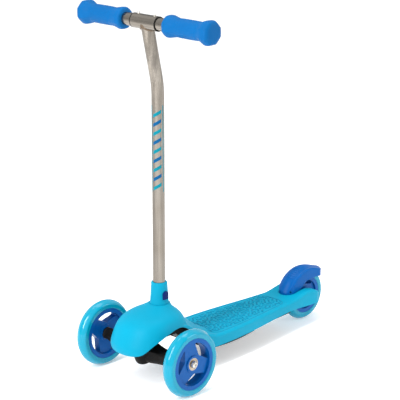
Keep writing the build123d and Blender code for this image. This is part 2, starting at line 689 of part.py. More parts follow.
# ---------------------------------------------------------------- truck
def truck_beam():
    """Steering beam: a drum round the kingpin with a tapering arm out to each front wheel."""
    drum = rod(DRUM_R, -DRUM_DOWN, DRUM_UP)
    drum = fillet(drum.edges().sort_by(Axis.Z)[0], 5.0)
    body = on_kingpin(drum)
    tip = arm_tip_x()
    for side in (1, -1):
        sections = []
        for x, z, height, depth, corner in (
                (8.0, 54.5, ARM_ROOT_H, 30.0, 9.0), (26.0, 54.0, ARM_ROOT_H - 1.5, 27.0, 9.0),
                (ARM_MID_X, 53.5, ARM_MID_H, 25.0, 8.0), (ARM_MID_X + 24, 57.0, 22.0, 23.0, 8.0),
                (tip - 6, front_r, ARM_TIP_D, ARM_TIP_D, ARM_TIP_D / 2 - 0.6),
                (tip, front_r, ARM_TIP_D, ARM_TIP_D, ARM_TIP_D / 2 - 0.6)):
            outline = RectangleRounded(depth, height, corner)
            sections.append(Plane(origin=(side * x, 0, z), x_dir=(0, 1, 0), z_dir=(1, 0, 0)) * outline)
        arm = loft(sections if side > 0 else sections)
        body += arm
    body -= on_kingpin(rod(7.0, -40, 60))
    body -= on_kingpin(rod(9.2, -60, -DRUM_DOWN + 8.0))
    body -= on_kingpin(rod(60, DRUM_UP, 80))
    for side in (1, -1):
        body -= tube_x(AXLE_D / 2, side * (tip - 34), side * (tip + 5), 0, front_r)
    return body


def arm_tip_x():
    """Where a truck arm ends, just inside its wheel."""
    return wheel_x - boss_half(FRONT_WHEEL_W) - WASHER_T - END_FLOAT


def truck_bushes():
    """Two flanged bushes in the drum."""
    bore = KINGPIN_D / 2 + RUNNING_CLEARANCE
    low, high = -DRUM_DOWN + 8.0, DRUM_UP
    lower = rod(7.0, low, low + 7) + rod(9.0, low - 1.2, low)
    upper = rod(7.0, high - 9, high)
    return [on_kingpin(piece - rod(bore, -60, 60)) for piece in (lower, upper)]


def kingpin_bolt():
    """Hexagon bolt up through the truck and the frame's seat."""
    under_head = -DRUM_DOWN + 8.0 - 1.2 - END_FLOAT
    head = extrude(Pos(0, 0, under_head - 5.3) * RegularPolygon(13 / sqrt(3), 6), 5.3)
    seat_top = DRUM_UP + THRUST_T + 2 * END_FLOAT + SEAT_T
    return on_kingpin(head + rod(KINGPIN_D / 2, under_head, seat_top + 10.5))


def kingpin_nut():
    seat_top = DRUM_UP + THRUST_T + 2 * END_FLOAT + SEAT_T
    nut = extrude(Pos(0, 0, seat_top + 1.6) * RegularPolygon(13 / sqrt(3), 6), 6.5)
    nut += rod(6.0, seat_top + 8.1, seat_top + 9.6)
    return on_kingpin(nut - rod(KINGPIN_D / 2, 0, 90))


def kingpin_washer():
    seat_top = DRUM_UP + THRUST_T + 2 * END_FLOAT + SEAT_T
    return on_kingpin(rod(8.5, seat_top, seat_top + 1.6) - rod(KINGPIN_D / 2 + RUNNING_CLEARANCE, 0, 90))


def thrust_washer():
    """Plain washer between the truck's drum and the frame's seat."""
    low = DRUM_UP + END_FLOAT
    return on_kingpin(rod(14.0, low, low + THRUST_T) - rod(KINGPIN_D / 2 + RUNNING_CLEARANCE, 0, 90))


# ---------------------------------------------------------------- foot brake
# Angle about the rear axle, from the rear, and crown radius over a crown of 56.
FENDER_CROWN = (
    (184.0, 60.5),
    (174.0, 61.5),
    (163.0, 61.5),
    (152.0, 59.6),
    (138.0, 58.4),
    (120.0, 57.0),
    (102.0, 56.2),
    (84.0, 56.0),
    (68.0, 56.4),
    (55.0, 58.8),
    (46.0, 62.8),
    (38.0, 69.0),
)


def hood_form(inset):
    """Solid crowned hood about the rear axle, smaller by inset."""
    crown = rear_r + FENDER_GAP + BRAKE_PLATE_T + FENDER_WALL
    half = FENDER_W / 2 - inset
    sections = []
    for angle, reach in FENDER_CROWN:
        r = reach - 56.0 + crown - inset
        c, s = cos(radians(angle)), sin(radians(angle))
        arch = Spline((-half, r - 10), (-half * 0.72, r - 2.7), (0, r), (half * 0.72, r - 2.7), (half, r - 10),
                      tangents=((0, 1), (0, -1)))
        rest = Polyline((half, r - 10), (half, 12), (-half, 12), (-half, r - 10))
        plane = Plane(origin=(0, WHEELBASE, rear_r), x_dir=(1, 0, 0), z_dir=(0, -s, c))
        sections.append(plane * make_face(arch + rest))
    return loft(sections)


def fender():
    """Foot brake: a crowned hood over the rear wheel, with a flipped-up tail and a hinge knuckle."""
    foot_z = BRAKE_PIVOT_Z - KNUCKLE_R
    hood = hood_form(0.0) & extrude(fender_plan(0.0), 200)
    skirt = Spline((WHEELBASE + 80, rear_r + 30), (WHEELBASE + 40, rear_r + 31), (WHEELBASE + 22, rear_r + 33),
                   (WHEELBASE + 4, rear_r + 33), (WHEELBASE - 12, rear_r + 30), (WHEELBASE - 22, rear_r + 23),
                   (WHEELBASE - 34, rear_r + 17), (WHEELBASE - 42, foot_z),
                   tangents=((-1, 0), (-0.1, -1)))
    below = Polyline((WHEELBASE - 42, foot_z), (WHEELBASE - 90, foot_z), (WHEELBASE - 90, -40),
                     (WHEELBASE + 80, -40), (WHEELBASE + 80, rear_r + 30))
    hood -= extrude_x(make_face(skirt + below), 60)
    wedge = make_face(Polyline((WHEELBASE, rear_r), (WHEELBASE - 90, rear_r + 90 * 0.32),
                               (WHEELBASE - 90, rear_r + 200), (WHEELBASE + 150, rear_r + 200),
                               (WHEELBASE + 150, rear_r - 40), close=True))
    hood -= hood_form(FENDER_WALL) & extrude_x(wedge, 60)
    hood -= tube_x(rear_r + FENDER_GAP, -FENDER_W / 2 + FENDER_WALL, FENDER_W / 2 - FENDER_WALL, WHEELBASE, rear_r)
    skin = DECK_TOP - DECK_WALL - SLOT_GAP
    for side_x in (8.5, -8.5):
        hood += tube_x(KNUCKLE_R, side_x - 3.2, side_x + 3.2, pivot_station, BRAKE_PIVOT_Z)
        hood += Pos(side_x, pivot_station, foot_z) * Box(6.4, 7.0, skin - foot_z, align=(
            Align.CENTER, Align.MIN, Align.MIN))
    hood -= tube_x(KNUCKLE_R + 1.2, -5.3, 5.3, pivot_station, BRAKE_PIVOT_Z)
    return hood - tube_x(BRAKE_PIN_D / 2 + RUNNING_CLEARANCE, -40, 40, pivot_station, BRAKE_PIVOT_Z)


def brake_plate():
    """Steel friction plate under the fender's crown."""
    plate = hood_form(FENDER_WALL + 0.02) - hood_form(FENDER_WALL + BRAKE_PLATE_T)
    low = rear_r * 0.8
    wedge = make_face(Polyline((WHEELBASE + 15, rear_r + low), (WHEELBASE + 40, rear_r + 130),
                               (WHEELBASE - 30, rear_r + 130), (WHEELBASE - 12, rear_r + low), close=True))
    return plate & extrude_x(wedge, 9.0)


parts = {}


def save(name, *shapes):
    """Moves a node's solids from stations to the row frame and writes them."""
    solids = []
    for shape in shapes:
        for piece in (shape if isinstance(shape, list) else [shape]):
            solids += (Pos(0, -mid_station, 0) * piece).solids()
    body = solids[0] if len(solids) == 1 else Compound(children=solids)
    parts[name] = body
    export_step(body, os.path.join("parts", name + ".step"))


def wheel_set(name, radius, width, x, station, turn):
    """Writes one wheel's tyre, hub, bearings and spacer."""
    place = Pos(x, station, radius)
    save(name + "_tyre", place * tyre(radius, width))
    save(name + "_hub", place * Rot(turn, 0, 0) * hub(radius, width))
    save(name + "_bearings", [place * ring for ring in bearings(width)])
    save(name + "_bearing_spacer", place * bearing_spacer(width))


def main():
    os.makedirs("parts", exist_ok=True)
    save("deck_shell", deck_shell())
    save("underframe", underframe())
    save("deck_screws", deck_screws())
    save("stem_collar", stem_collar())
    save("stem_tube", stem_tube())
    save("handlebar_sleeve", handlebar_sleeve())
    save("weld_bead", weld_bead())
    for side, name in ((1, "left"), (-1, "right")):
        save(name + "_grip_tube", grip_tube(side))
        save(name + "_grip", grip(side))
        save(name + "_snap_pin", snap_pin(side))
        save(name + "_snap_spring", snap_spring(side))
    save("release_button", release_button())
    save("latch_pin", latch_pin())
    save("latch_spring", latch_spring())
    save("truck_beam", truck_beam())
    save("truck_bushes", truck_bushes())
    save("thrust_washer", thrust_washer())
    save("kingpin_bolt", kingpin_bolt())
    save("kingpin_washer", kingpin_washer())
    save("kingpin_nut", kingpin_nut())
    wheel_set("front_left", front_r, FRONT_WHEEL_W, wheel_x, 0, 100)
    wheel_set("front_right", front_r, FRONT_WHEEL_W, -wheel_x, 0, 25)
    wheel_set("rear", rear_r, REAR_WHEEL_W, 0, WHEELBASE, 15)
    boss = boss_half(FRONT_WHEEL_W)
    for side, name in ((1, "left"), (-1, "right")):
        outer = side * (wheel_x + boss + END_FLOAT)
        place = Pos(0, 0, front_r)
        save("front_" + name + "_axle_bolt",
             place * cap_bolt(outer + side * WASHER_T, side * (arm_tip_x() - 30)))
        save("front_" + name + "_axle_washers",
             [place * washer(outer, outer + side * WASHER_T),
              place * washer(side * arm_tip_x(), side * (arm_tip_x() + WASHER_T))])
    rear = Pos(0, WHEELBASE, rear_r)
    head = -TAIL_W / 2 + 6
    save("rear_axle_bolt", rear * cap_bolt(head, TAIL_W / 2 - 6.5))
    nut = Rot(0, 90, 0) * extrude(RegularPolygon(13 / sqrt(3), 6), 6.6)
    save("rear_axle_nut", rear * (Pos(slot_half + 4.2, 0, 0) * nut - tube_x(AXLE_D / 2, -FAR, FAR)))
    rear_boss = boss_half(REAR_WHEEL_W) + END_FLOAT
    save("rear_axle_spacers", [rear * washer(side * rear_boss, side * slot_half) for side in (1, -1)])
    save("fender", fender())
    save("brake_plate", brake_plate())
    save("brake_pivot_pin", tube_x(BRAKE_PIN_D / 2, -slot_half - 5.5, slot_half + 5.5, pivot_station, BRAKE_PIVOT_Z))
    spring = Rot(0, 90, 0) * coil(BRAKE_PIN_D / 2 + 1.1, 1.3, 8.0, 5)
    save("brake_spring", Pos(0, pivot_station, BRAKE_PIVOT_Z) * spring)


if __name__ == "__main__":
    main()
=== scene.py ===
"""Finishes, tread, grips, prints and stage for a three-wheel kick scooter, built round the frame in
model.glb.
"""

import math
import random

import bmesh
import bpy
from bpy.props import FloatProperty, FloatVectorProperty, IntProperty, PointerProperty
from bpy.types import Operator, Panel, PropertyGroup
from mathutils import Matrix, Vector
from mathutils.bvhtree import BVHTree


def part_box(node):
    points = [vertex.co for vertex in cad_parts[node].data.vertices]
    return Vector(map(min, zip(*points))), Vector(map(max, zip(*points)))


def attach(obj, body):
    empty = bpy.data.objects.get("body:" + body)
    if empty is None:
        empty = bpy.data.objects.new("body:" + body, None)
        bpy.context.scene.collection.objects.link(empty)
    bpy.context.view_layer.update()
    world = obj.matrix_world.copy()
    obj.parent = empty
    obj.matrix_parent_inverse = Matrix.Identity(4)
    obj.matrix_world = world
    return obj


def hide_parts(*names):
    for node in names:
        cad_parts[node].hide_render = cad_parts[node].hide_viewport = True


bl_info = {
    "name": "Kick Scooter Finishes",
    "version": (1, 0, 0),
    "blender": (4, 5, 0),
    "location": "3D View > Sidebar > Scooter",
    "description": "Builds the moulded details, finishes and stage of a three-wheel kick scooter",
    "category": "Object",
}

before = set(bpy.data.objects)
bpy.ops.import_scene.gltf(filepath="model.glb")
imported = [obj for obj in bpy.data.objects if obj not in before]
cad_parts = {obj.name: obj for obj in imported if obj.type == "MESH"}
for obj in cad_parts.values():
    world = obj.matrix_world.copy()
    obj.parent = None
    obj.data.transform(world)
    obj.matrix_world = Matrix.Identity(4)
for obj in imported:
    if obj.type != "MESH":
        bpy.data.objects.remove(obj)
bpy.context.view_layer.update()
MM = 0.001


# --- Settings ---


class TreadSettings(PropertyGroup):
    """Raised labyrinth on the deck."""

    pitch: FloatProperty(
        name="Pitch", description="Distance between neighbouring ridges", default=0.0054, unit="LENGTH"
    )
    ridge_width: FloatProperty(
        name="Ridge width", description="Width of a ridge at its foot", default=0.0019, unit="LENGTH"
    )
    ridge_height: FloatProperty(
        name="Ridge height", description="Height of a ridge above the deck", default=0.0008, unit="LENGTH"
    )
    margin: FloatProperty(
        name="Margin",
        description="From the deck's edge to the border line",
        default=0.0085,
        unit="LENGTH",
    )
    start: FloatProperty(
        name="Front end", description="Where the tread begins, along Y", default=-0.079, unit="LENGTH"
    )
    end: FloatProperty(
        name="Rear end", description="Where the tread ends, along Y", default=0.134, unit="LENGTH"
    )
    seed: IntProperty(name="Seed", description="Picks one labyrinth of many", default=11)


class GripSettings(PropertyGroup):
    """Soft handlebar grips."""

    inner_end: FloatProperty(
        name="Inner end",
        description="From the middle of the bar to the grip",
        default=0.0495,
        unit="LENGTH",
    )
    outer_end: FloatProperty(
        name="Outer end",
        description="From the middle of the bar to the grip's end",
        default=0.154,
        unit="LENGTH",
    )
    flange_radius: FloatProperty(
        name="Flange radius", description="Radius of the inner collar", default=0.0192, unit="LENGTH"
    )
    waist_radius: FloatProperty(
        name="Waist radius", description="Radius of the held part", default=0.0158, unit="LENGTH"
    )
    bulb_radius: FloatProperty(
        name="Bulb radius", description="Radius of the end bulb", default=0.0212, unit="LENGTH"
    )
    pip_height: FloatProperty(
        name="Pip height",
        description="Height of the small pips on the held part",
        default=0.00035,
        unit="LENGTH",
    )


class PrintSettings(PropertyGroup):
    """Printed stripes on the stem."""

    low_edge: FloatProperty(
        name="Low edge", description="Height of the lowest stripe", default=0.338, unit="LENGTH"
    )
    high_edge: FloatProperty(
        name="High edge", description="Height of the highest stripe", default=0.490, unit="LENGTH"
    )
    bearing: FloatProperty(
        name="Bearing",
        description="Which way the print faces, round the stem",
        default=math.radians(-54),
        subtype="ANGLE",
    )
    spread: FloatProperty(
        name="Spread",
        description="Half of the print's width, round the stem",
        default=math.radians(62),
        subtype="ANGLE",
    )
    film: FloatProperty(name="Film", description="Thickness of the print", default=0.00012, unit="LENGTH")


class FinishSettings(PropertyGroup):
    """Base colours of the finishes."""

    shell: FloatVectorProperty(
        name="Shell",
        description="Moulded deck, cowl and collar",
        subtype="COLOR",
        default=(0.0, 0.305, 0.470),
    )
    # Darker than the shell: painted shade for the shadow in the tread's relief, carried by the ridges.
    tread: FloatVectorProperty(
        name="Tread", description="Ridges on the deck", subtype="COLOR", default=(0.0, 0.200, 0.340)
    )
    tyre: FloatVectorProperty(
        name="Tyre", description="Cast urethane tyres", subtype="COLOR", default=(0.0, 0.290, 0.430)
    )
    hub: FloatVectorProperty(
        name="Hub", description="Moulded wheel hubs", subtype="COLOR", default=(0.0, 0.095, 0.36)
    )
    fender: FloatVectorProperty(
        name="Foot brake", description="Moulded foot brake", subtype="COLOR", default=(0.0, 0.100, 0.37)
    )
    grip: FloatVectorProperty(
        name="Grip", description="Soft grips", subtype="COLOR", default=(0.0, 0.108, 0.33)
    )
    button: FloatVectorProperty(
        name="Button", description="Release button", subtype="COLOR", default=(0.001, 0.016, 0.13)
    )
    black: FloatVectorProperty(
        name="Black",
        description="Truck and under-deck frame",
        subtype="COLOR",
        default=(0.006, 0.0055, 0.005),
    )
    steel: FloatVectorProperty(
        name="Steel", description="Stem and bar tubes", subtype="COLOR", default=(0.27, 0.245, 0.215)
    )


class StageSettings(PropertyGroup):
    """Camera, light and floor."""

    camera_place: FloatVectorProperty(
        name="Camera",
        description="Where the camera stands",
        subtype="TRANSLATION",
        unit="LENGTH",
        default=(1.9116, -2.0764, 1.1195),
    )
    camera_aim: FloatVectorProperty(
        name="Aim",
        description="Direction that the camera looks in",
        subtype="DIRECTION",
        default=(-0.6613, 0.6943, -0.2838),
    )
    lens: FloatProperty(
        name="Lens", description="Focal length on a 36 mm sensor, in millimetres", default=146.9
    )
    floor_tone: FloatProperty(name="Floor tone", description="Brightness of the floor", default=0.9)
    floor_glow: FloatProperty(
        name="Floor glow",
        description="Light that the floor gives off, which thins the shadows",
        default=0.3,
    )
    sky: FloatProperty(name="Sky", description="Strength of the even light all round", default=0.9)
    key: FloatProperty(
        name="Key light", description="Power of the large soft light, in watts", default=85.0
    )
    fill: FloatProperty(
        name="Fill light", description="Power of the second soft light, in watts", default=30.0
    )


SETTINGS = {
    "scooter_tread": TreadSettings,
    "scooter_grip": GripSettings,
    "scooter_print": PrintSettings,
    "scooter_finish": FinishSettings,
    "scooter_stage": StageSettings,
}


# --- Shared shader effects ---

# Sockets of a Mix node that blends colours: the two colours it takes and the one it gives.
MIX_FIRST, MIX_SECOND, MIX_RESULT = 6, 7, 2


def node(tree, kind, values=None, links=None, **settings):
    """Adds a shader node, sets its inputs and links others to it."""
    made = tree.nodes.new(kind)
    for key, value in settings.items():
        setattr(made, key, value)
    for key, value in (values or {}).items():
        made.inputs[key].default_value = value
    for key, source in (links or {}).items():
        tree.links.new(source, made.inputs[key])
    return made


def effect(name, inputs, outputs):
    """Starts a shader node group; gives the tree, its input node and its output node."""
    tree = bpy.data.node_groups.new(name, "ShaderNodeTree")
    for label, kind, value in inputs:
        socket = tree.interface.new_socket(label, in_out="INPUT", socket_type=kind)
        socket.default_value = value
    for label, kind in outputs:
        tree.interface.new_socket(label, in_out="OUTPUT", socket_type=kind)
    return tree, tree.nodes.new("NodeGroupInput"), tree.nodes.new("NodeGroupOutput")


def mould_grain():
    """Fine spark-eroded texture of moulded plastic, with a broad waviness under it."""
    tree, given, out = effect(
        "Mould Grain",
        [("Scale", "NodeSocketFloat", 900.0), ("Waviness", "NodeSocketFloat", 0.3)],
        [("Height", "NodeSocketFloat")],
    )
    place = node(tree, "ShaderNodeTexCoord").outputs["Object"]
    fine = node(
        tree,
        "ShaderNodeTexNoise",
        {"Detail": 3.0, "Roughness": 0.6},
        {"Vector": place, "Scale": given.outputs["Scale"]},
    )
    broad = node(tree, "ShaderNodeTexNoise", {"Scale": 16.0, "Detail": 2.0}, {"Vector": place})
    sway = node(
        tree,
        "ShaderNodeMath",
        links={0: broad.outputs["Fac"], 1: given.outputs["Waviness"]},
        operation="MULTIPLY",
    )
    total = node(
        tree, "ShaderNodeMath", links={0: fine.outputs["Fac"], 1: sway.outputs[0]}, operation="ADD"
    )
    tree.links.new(total.outputs[0], out.inputs["Height"])
    return tree


def tone_drift():
    """Slow change between two near colours, as pigment gives in a moulding."""
    tree, given, out = effect(
        "Tone Drift",
        [
            ("Colour", "NodeSocketColor", (0.5, 0.5, 0.5, 1)),
            ("Deep", "NodeSocketColor", (0.4, 0.4, 0.4, 1)),
            ("Scale", "NodeSocketFloat", 9.0),
        ],
        [("Colour", "NodeSocketColor")],
    )
    place = node(tree, "ShaderNodeTexCoord").outputs["Object"]
    cloud = node(
        tree,
        "ShaderNodeTexNoise",
        {"Detail": 4.0, "Roughness": 0.55},
        {"Vector": place, "Scale": given.outputs["Scale"]},
    )
    spread = node(
        tree, "ShaderNodeMapRange", {"From Min": 0.3, "From Max": 0.7}, {"Value": cloud.outputs["Fac"]}
    )
    mix = node(tree, "ShaderNodeMix", data_type="RGBA")
    tree.links.new(spread.outputs["Result"], mix.inputs["Factor"])
    tree.links.new(given.outputs["Colour"], mix.inputs[MIX_FIRST])
    tree.links.new(given.outputs["Deep"], mix.inputs[MIX_SECOND])
    tree.links.new(mix.outputs[MIX_RESULT], out.inputs["Colour"])
    return tree


def edge_wear():
    """Mask that is bright along outer edges, broken up by noise."""
    tree, given, out = effect(
        "Edge Wear",
        [("Reach", "NodeSocketFloat", 0.0012), ("Patchiness", "NodeSocketFloat", 60.0)],
        [("Mask", "NodeSocketFloat")],
    )
    round_normal = node(tree, "ShaderNodeBevel", links={"Radius": given.outputs["Reach"]}, samples=4)
    surface = node(tree, "ShaderNodeNewGeometry")
    match = node(
        tree,
        "ShaderNodeVectorMath",
        links={0: round_normal.outputs["Normal"], 1: surface.outputs["Normal"]},
        operation="DOT_PRODUCT",
    )
    sharp = node(
        tree,
        "ShaderNodeMapRange",
        {"From Min": 0.995, "From Max": 0.86},
        {"Value": match.outputs["Value"]},
    )
    place = node(tree, "ShaderNodeTexCoord").outputs["Object"]
    patch = node(
        tree,
        "ShaderNodeTexNoise",
        {"Detail": 5.0},
        {"Vector": place, "Scale": given.outputs["Patchiness"]},
    )
    broken = node(
        tree, "ShaderNodeMapRange", {"From Min": 0.38, "From Max": 0.62}, {"Value": patch.outputs["Fac"]}
    )
    mask = node(
        tree,
        "ShaderNodeMath",
        links={0: sharp.outputs["Result"], 1: broken.outputs["Result"]},
        operation="MULTIPLY",
    )
    tree.links.new(mask.outputs[0], out.inputs["Mask"])
    return tree


def handling_marks():
    """Smudges and hairline scuffs, as a roughness between two given ones."""
    tree, given, out = effect(
        "Handling Marks",
        [
            ("Clean", "NodeSocketFloat", 0.3),
            ("Marked", "NodeSocketFloat", 0.45),
            ("Scale", "NodeSocketFloat", 14.0),
        ],
        [("Roughness", "NodeSocketFloat")],
    )
    place = node(tree, "ShaderNodeTexCoord").outputs["Object"]
    smudge = node(
        tree,
        "ShaderNodeTexNoise",
        {"Detail": 6.0, "Roughness": 0.62, "Distortion": 0.4},
        {"Vector": place, "Scale": given.outputs["Scale"]},
    )
    turned = node(
        tree,
        "ShaderNodeMapping",
        {"Rotation": (0.5, 0.3, 0.8), "Scale": (30.0, 420.0, 30.0)},
        {"Vector": place},
    )
    hair = node(
        tree, "ShaderNodeTexNoise", {"Scale": 1.0, "Detail": 2.0}, {"Vector": turned.outputs["Vector"]}
    )
    lines = node(
        tree, "ShaderNodeMapRange", {"From Min": 0.66, "From Max": 0.72}, {"Value": hair.outputs["Fac"]}
    )
    blend = node(
        tree,
        "ShaderNodeMath",
        links={0: smudge.outputs["Fac"], 1: lines.outputs["Result"]},
        operation="ADD",
        use_clamp=True,
    )
    ranged = node(
        tree,
        "ShaderNodeMapRange",
        {"From Min": 0.35, "From Max": 1.0},
        {"Value": blend.outputs[0], "To Min": given.outputs["Clean"], "To Max": given.outputs["Marked"]},
    )
    tree.links.new(ranged.outputs["Result"], out.inputs["Roughness"])
    return tree


def brushed_lines():
    """Fine lines drawn out along one axis, for brushed and turned steel, with broad streaks along the same
    axis that are painted reflection.
    """
    tree, given, out = effect(
        "Brushed Lines",
        [("Stretch", "NodeSocketVector", (1800.0, 1800.0, 14.0))],
        [("Height", "NodeSocketFloat"), ("Shade", "NodeSocketFloat")],
    )
    place = node(tree, "ShaderNodeTexCoord").outputs["Object"]
    drawn = node(
        tree, "ShaderNodeVectorMath", links={0: place, 1: given.outputs["Stretch"]}, operation="MULTIPLY"
    )
    fine = node(
        tree,
        "ShaderNodeTexNoise",
        {"Scale": 1.0, "Detail": 4.0, "Roughness": 0.7},
        {"Vector": drawn.outputs["Vector"]},
    )
    slack = node(
        tree,
        "ShaderNodeVectorMath",
        {1: (0.085, 0.085, 0.12)},
        {0: drawn.outputs["Vector"]},
        operation="MULTIPLY",
    )
    # Broad streaks round the tube, drawn out along it: painted reflection of the dark and bright
    # surroundings that the steel mirrors, mixed into the colour.
    broad = node(
        tree, "ShaderNodeTexNoise", {"Scale": 1.0, "Detail": 2.0}, {"Vector": slack.outputs["Vector"]}
    )
    both = node(
        tree, "ShaderNodeMath", links={0: fine.outputs["Fac"], 1: broad.outputs["Fac"]}, operation="ADD"
    )
    half = node(tree, "ShaderNodeMath", {1: 0.5}, {0: both.outputs[0]}, operation="MULTIPLY")
    tree.links.new(fine.outputs["Fac"], out.inputs["Height"])
    tree.links.new(half.outputs[0], out.inputs["Shade"])
    return tree


def settled_dust():
    """Mask of fine dust that lies in corners, broken up into specks."""
    tree, given, out = effect(
        "Settled Dust",
        [("Reach", "NodeSocketFloat", 0.012), ("Amount", "NodeSocketFloat", 0.5)],
        [("Mask", "NodeSocketFloat")],
    )
    corner = node(
        tree, "ShaderNodeAmbientOcclusion", links={"Distance": given.outputs["Reach"]}, samples=4
    )
    near = node(
        tree, "ShaderNodeMapRange", {"From Min": 0.95, "From Max": 0.35}, {"Value": corner.outputs["AO"]}
    )
    place = node(tree, "ShaderNodeTexCoord").outputs["Object"]
    specks = node(tree, "ShaderNodeTexNoise", {"Scale": 420.0, "Detail": 5.0}, {"Vector": place})
    broken = node(
        tree, "ShaderNodeMapRange", {"From Min": 0.35, "From Max": 0.7}, {"Value": specks.outputs["Fac"]}
    )
    first = node(
        tree,
        "ShaderNodeMath",
        links={0: near.outputs["Result"], 1: broken.outputs["Result"]},
        operation="MULTIPLY",
    )
    last = node(
        tree,
        "ShaderNodeMath",
        links={0: first.outputs[0], 1: given.outputs["Amount"]},
        operation="MULTIPLY",
        use_clamp=True,
    )
    tree.links.new(last.outputs[0], out.inputs["Mask"])
    return tree


EFFECT_MAKERS = {
    "Mould Grain": mould_grain,
    "Tone Drift": tone_drift,
    "Edge Wear": edge_wear,
    "Handling Marks": handling_marks,
    "Brushed Lines": brushed_lines,
    "Settled Dust": settled_dust,
}
EFFECTS = {}


def use(tree, name, links=None, **values):
    """Places a shared effect in a material with its own values."""
    if name not in EFFECTS:
        EFFECTS[name] = EFFECT_MAKERS[name]()
    placed = tree.nodes.new("ShaderNodeGroup")
    placed.node_tree = EFFECTS[name]
    for key, value in values.items():
        placed.inputs[key].default_value = value
    for key, source in (links or {}).items():
        tree.links.new(source, placed.inputs[key])
    return placed


# --- Finishes ---

DUST = (0.23, 0.21, 0.19, 1.0)
PLAIN = (1.0, 1.0, 1.0, 1.0)
SOILED = (0.88, 0.86, 0.83, 1.0)


def blank(name):
    """Starts a material with a Principled BSDF; gives the material, its tree and the shader."""
    material = bpy.data.materials.new(name)
    material.use_nodes = True
    tree = material.node_tree
    tree.nodes.clear()
    shader = tree.nodes.new("ShaderNodeBsdfPrincipled")
    out = tree.nodes.new("ShaderNodeOutputMaterial")
    tree.links.new(shader.outputs["BSDF"], out.inputs["Surface"])
    return material, tree, shader


def rgba(colour, gain=1.0):
    """A colour made brighter or darker, with its alpha."""
    return tuple(min(1.0, part * gain) for part in colour) + (1.0,)


def blend_colours(tree, mask, below, above):
    """Mixes a colour over another by a mask; either may be a socket or a value."""
    mix = node(tree, "ShaderNodeMix", data_type="RGBA")
    tree.links.new(mask, mix.inputs["Factor"])
    for socket, colour in ((MIX_FIRST, below), (MIX_SECOND, above)):
        if isinstance(colour, tuple):
            mix.inputs[socket].default_value = colour
        else:
            tree.links.new(colour, mix.inputs[socket])
    return mix.outputs[MIX_RESULT]


def moulded(
    name,
    colour,
    deep=0.86,
    pale=1.25,
    grain=900.0,
    depth=0.12,
    waviness=0.4,
    clean=0.34,
    marked=0.46,
    coat=0.0,
    wear=0.5,
    dust=0.0,
    gloss=0.1,
):
    """Moulded plastic or rubber: drifting tone, mould grain, worn edges and smudges."""
    material, tree, shader = blank(name)
    tone = use(
        tree, "Tone Drift", Colour=rgba(colour), Deep=rgba(colour, deep), Scale=11.0
    ).outputs["Colour"]
    worn = use(tree, "Edge Wear", Reach=0.001, Patchiness=70.0).outputs["Mask"]
    faint = node(tree, "ShaderNodeMath", {1: wear}, {0: worn}, operation="MULTIPLY").outputs[0]
    lifted = tuple(min(1.0, c * pale + 0.03) for c in colour) + (1.0,)
    tone = blend_colours(tree, faint, tone, lifted)
    if dust:
        lint = use(tree, "Settled Dust", Reach=0.01, Amount=dust).outputs["Mask"]
        tone = blend_colours(tree, lint, tone, DUST)
    tree.links.new(tone, shader.inputs["Base Color"])
    marks = use(tree, "Handling Marks", Clean=clean, Marked=marked, Scale=13.0)
    tree.links.new(marks.outputs["Roughness"], shader.inputs["Roughness"])
    skin = use(tree, "Mould Grain", Scale=grain, Waviness=waviness)
    bump = node(
        tree,
        "ShaderNodeBump",
        {"Strength": depth, "Distance": 0.0004},
        {"Height": skin.outputs["Height"]},
    )
    tree.links.new(bump.outputs["Normal"], shader.inputs["Normal"])
    shader.inputs["Specular IOR Level"].default_value = gloss
    if coat:
        shader.inputs["Coat Weight"].default_value = coat
        shader.inputs["Coat Roughness"].default_value = 0.12
    return material


def metal(name, colour, stretch, low=0.26, high=0.42, depth=0.1, contrast=0.14):
    """Brushed or turned steel, with its lines drawn out along one axis; broad streaks along the same axis,
    in its colour, are painted reflection.
    """
    material, tree, shader = blank(name)
    lines = use(tree, "Brushed Lines", Stretch=stretch)
    # Darker and lighter steel follows the fine lines, which are real brushing, and the broad streaks, which
    # are painted reflection.
    shade = node(
        tree, "ShaderNodeMapRange", {"From Min": 0.4, "From Max": 0.6}, {"Value": lines.outputs["Shade"]}
    )
    tone = blend_colours(
        tree, shade.outputs["Result"], rgba(colour, 1.0 - contrast), rgba(colour, 1.0 + contrast)
    )
    soil = use(tree, "Tone Drift", Colour=PLAIN, Deep=SOILED, Scale=22.0)
    soiled = node(tree, "ShaderNodeMix", {"Factor": 1.0}, data_type="RGBA", blend_type="MULTIPLY")
    tree.links.new(tone, soiled.inputs[MIX_FIRST])
    tree.links.new(soil.outputs["Colour"], soiled.inputs[MIX_SECOND])
    tree.links.new(soiled.outputs[MIX_RESULT], shader.inputs["Base Color"])
    marks = use(tree, "Handling Marks", Clean=low, Marked=high, Scale=20.0)
    tree.links.new(marks.outputs["Roughness"], shader.inputs["Roughness"])
    bump = node(
        tree,
        "ShaderNodeBump",
        {"Strength": depth, "Distance": 0.0002},
        {"Height": lines.outputs["Height"]},
    )
    tree.links.new(bump.outputs["Normal"], shader.inputs["Normal"])
    shader.inputs["Metallic"].default_value = 1.0
    return material


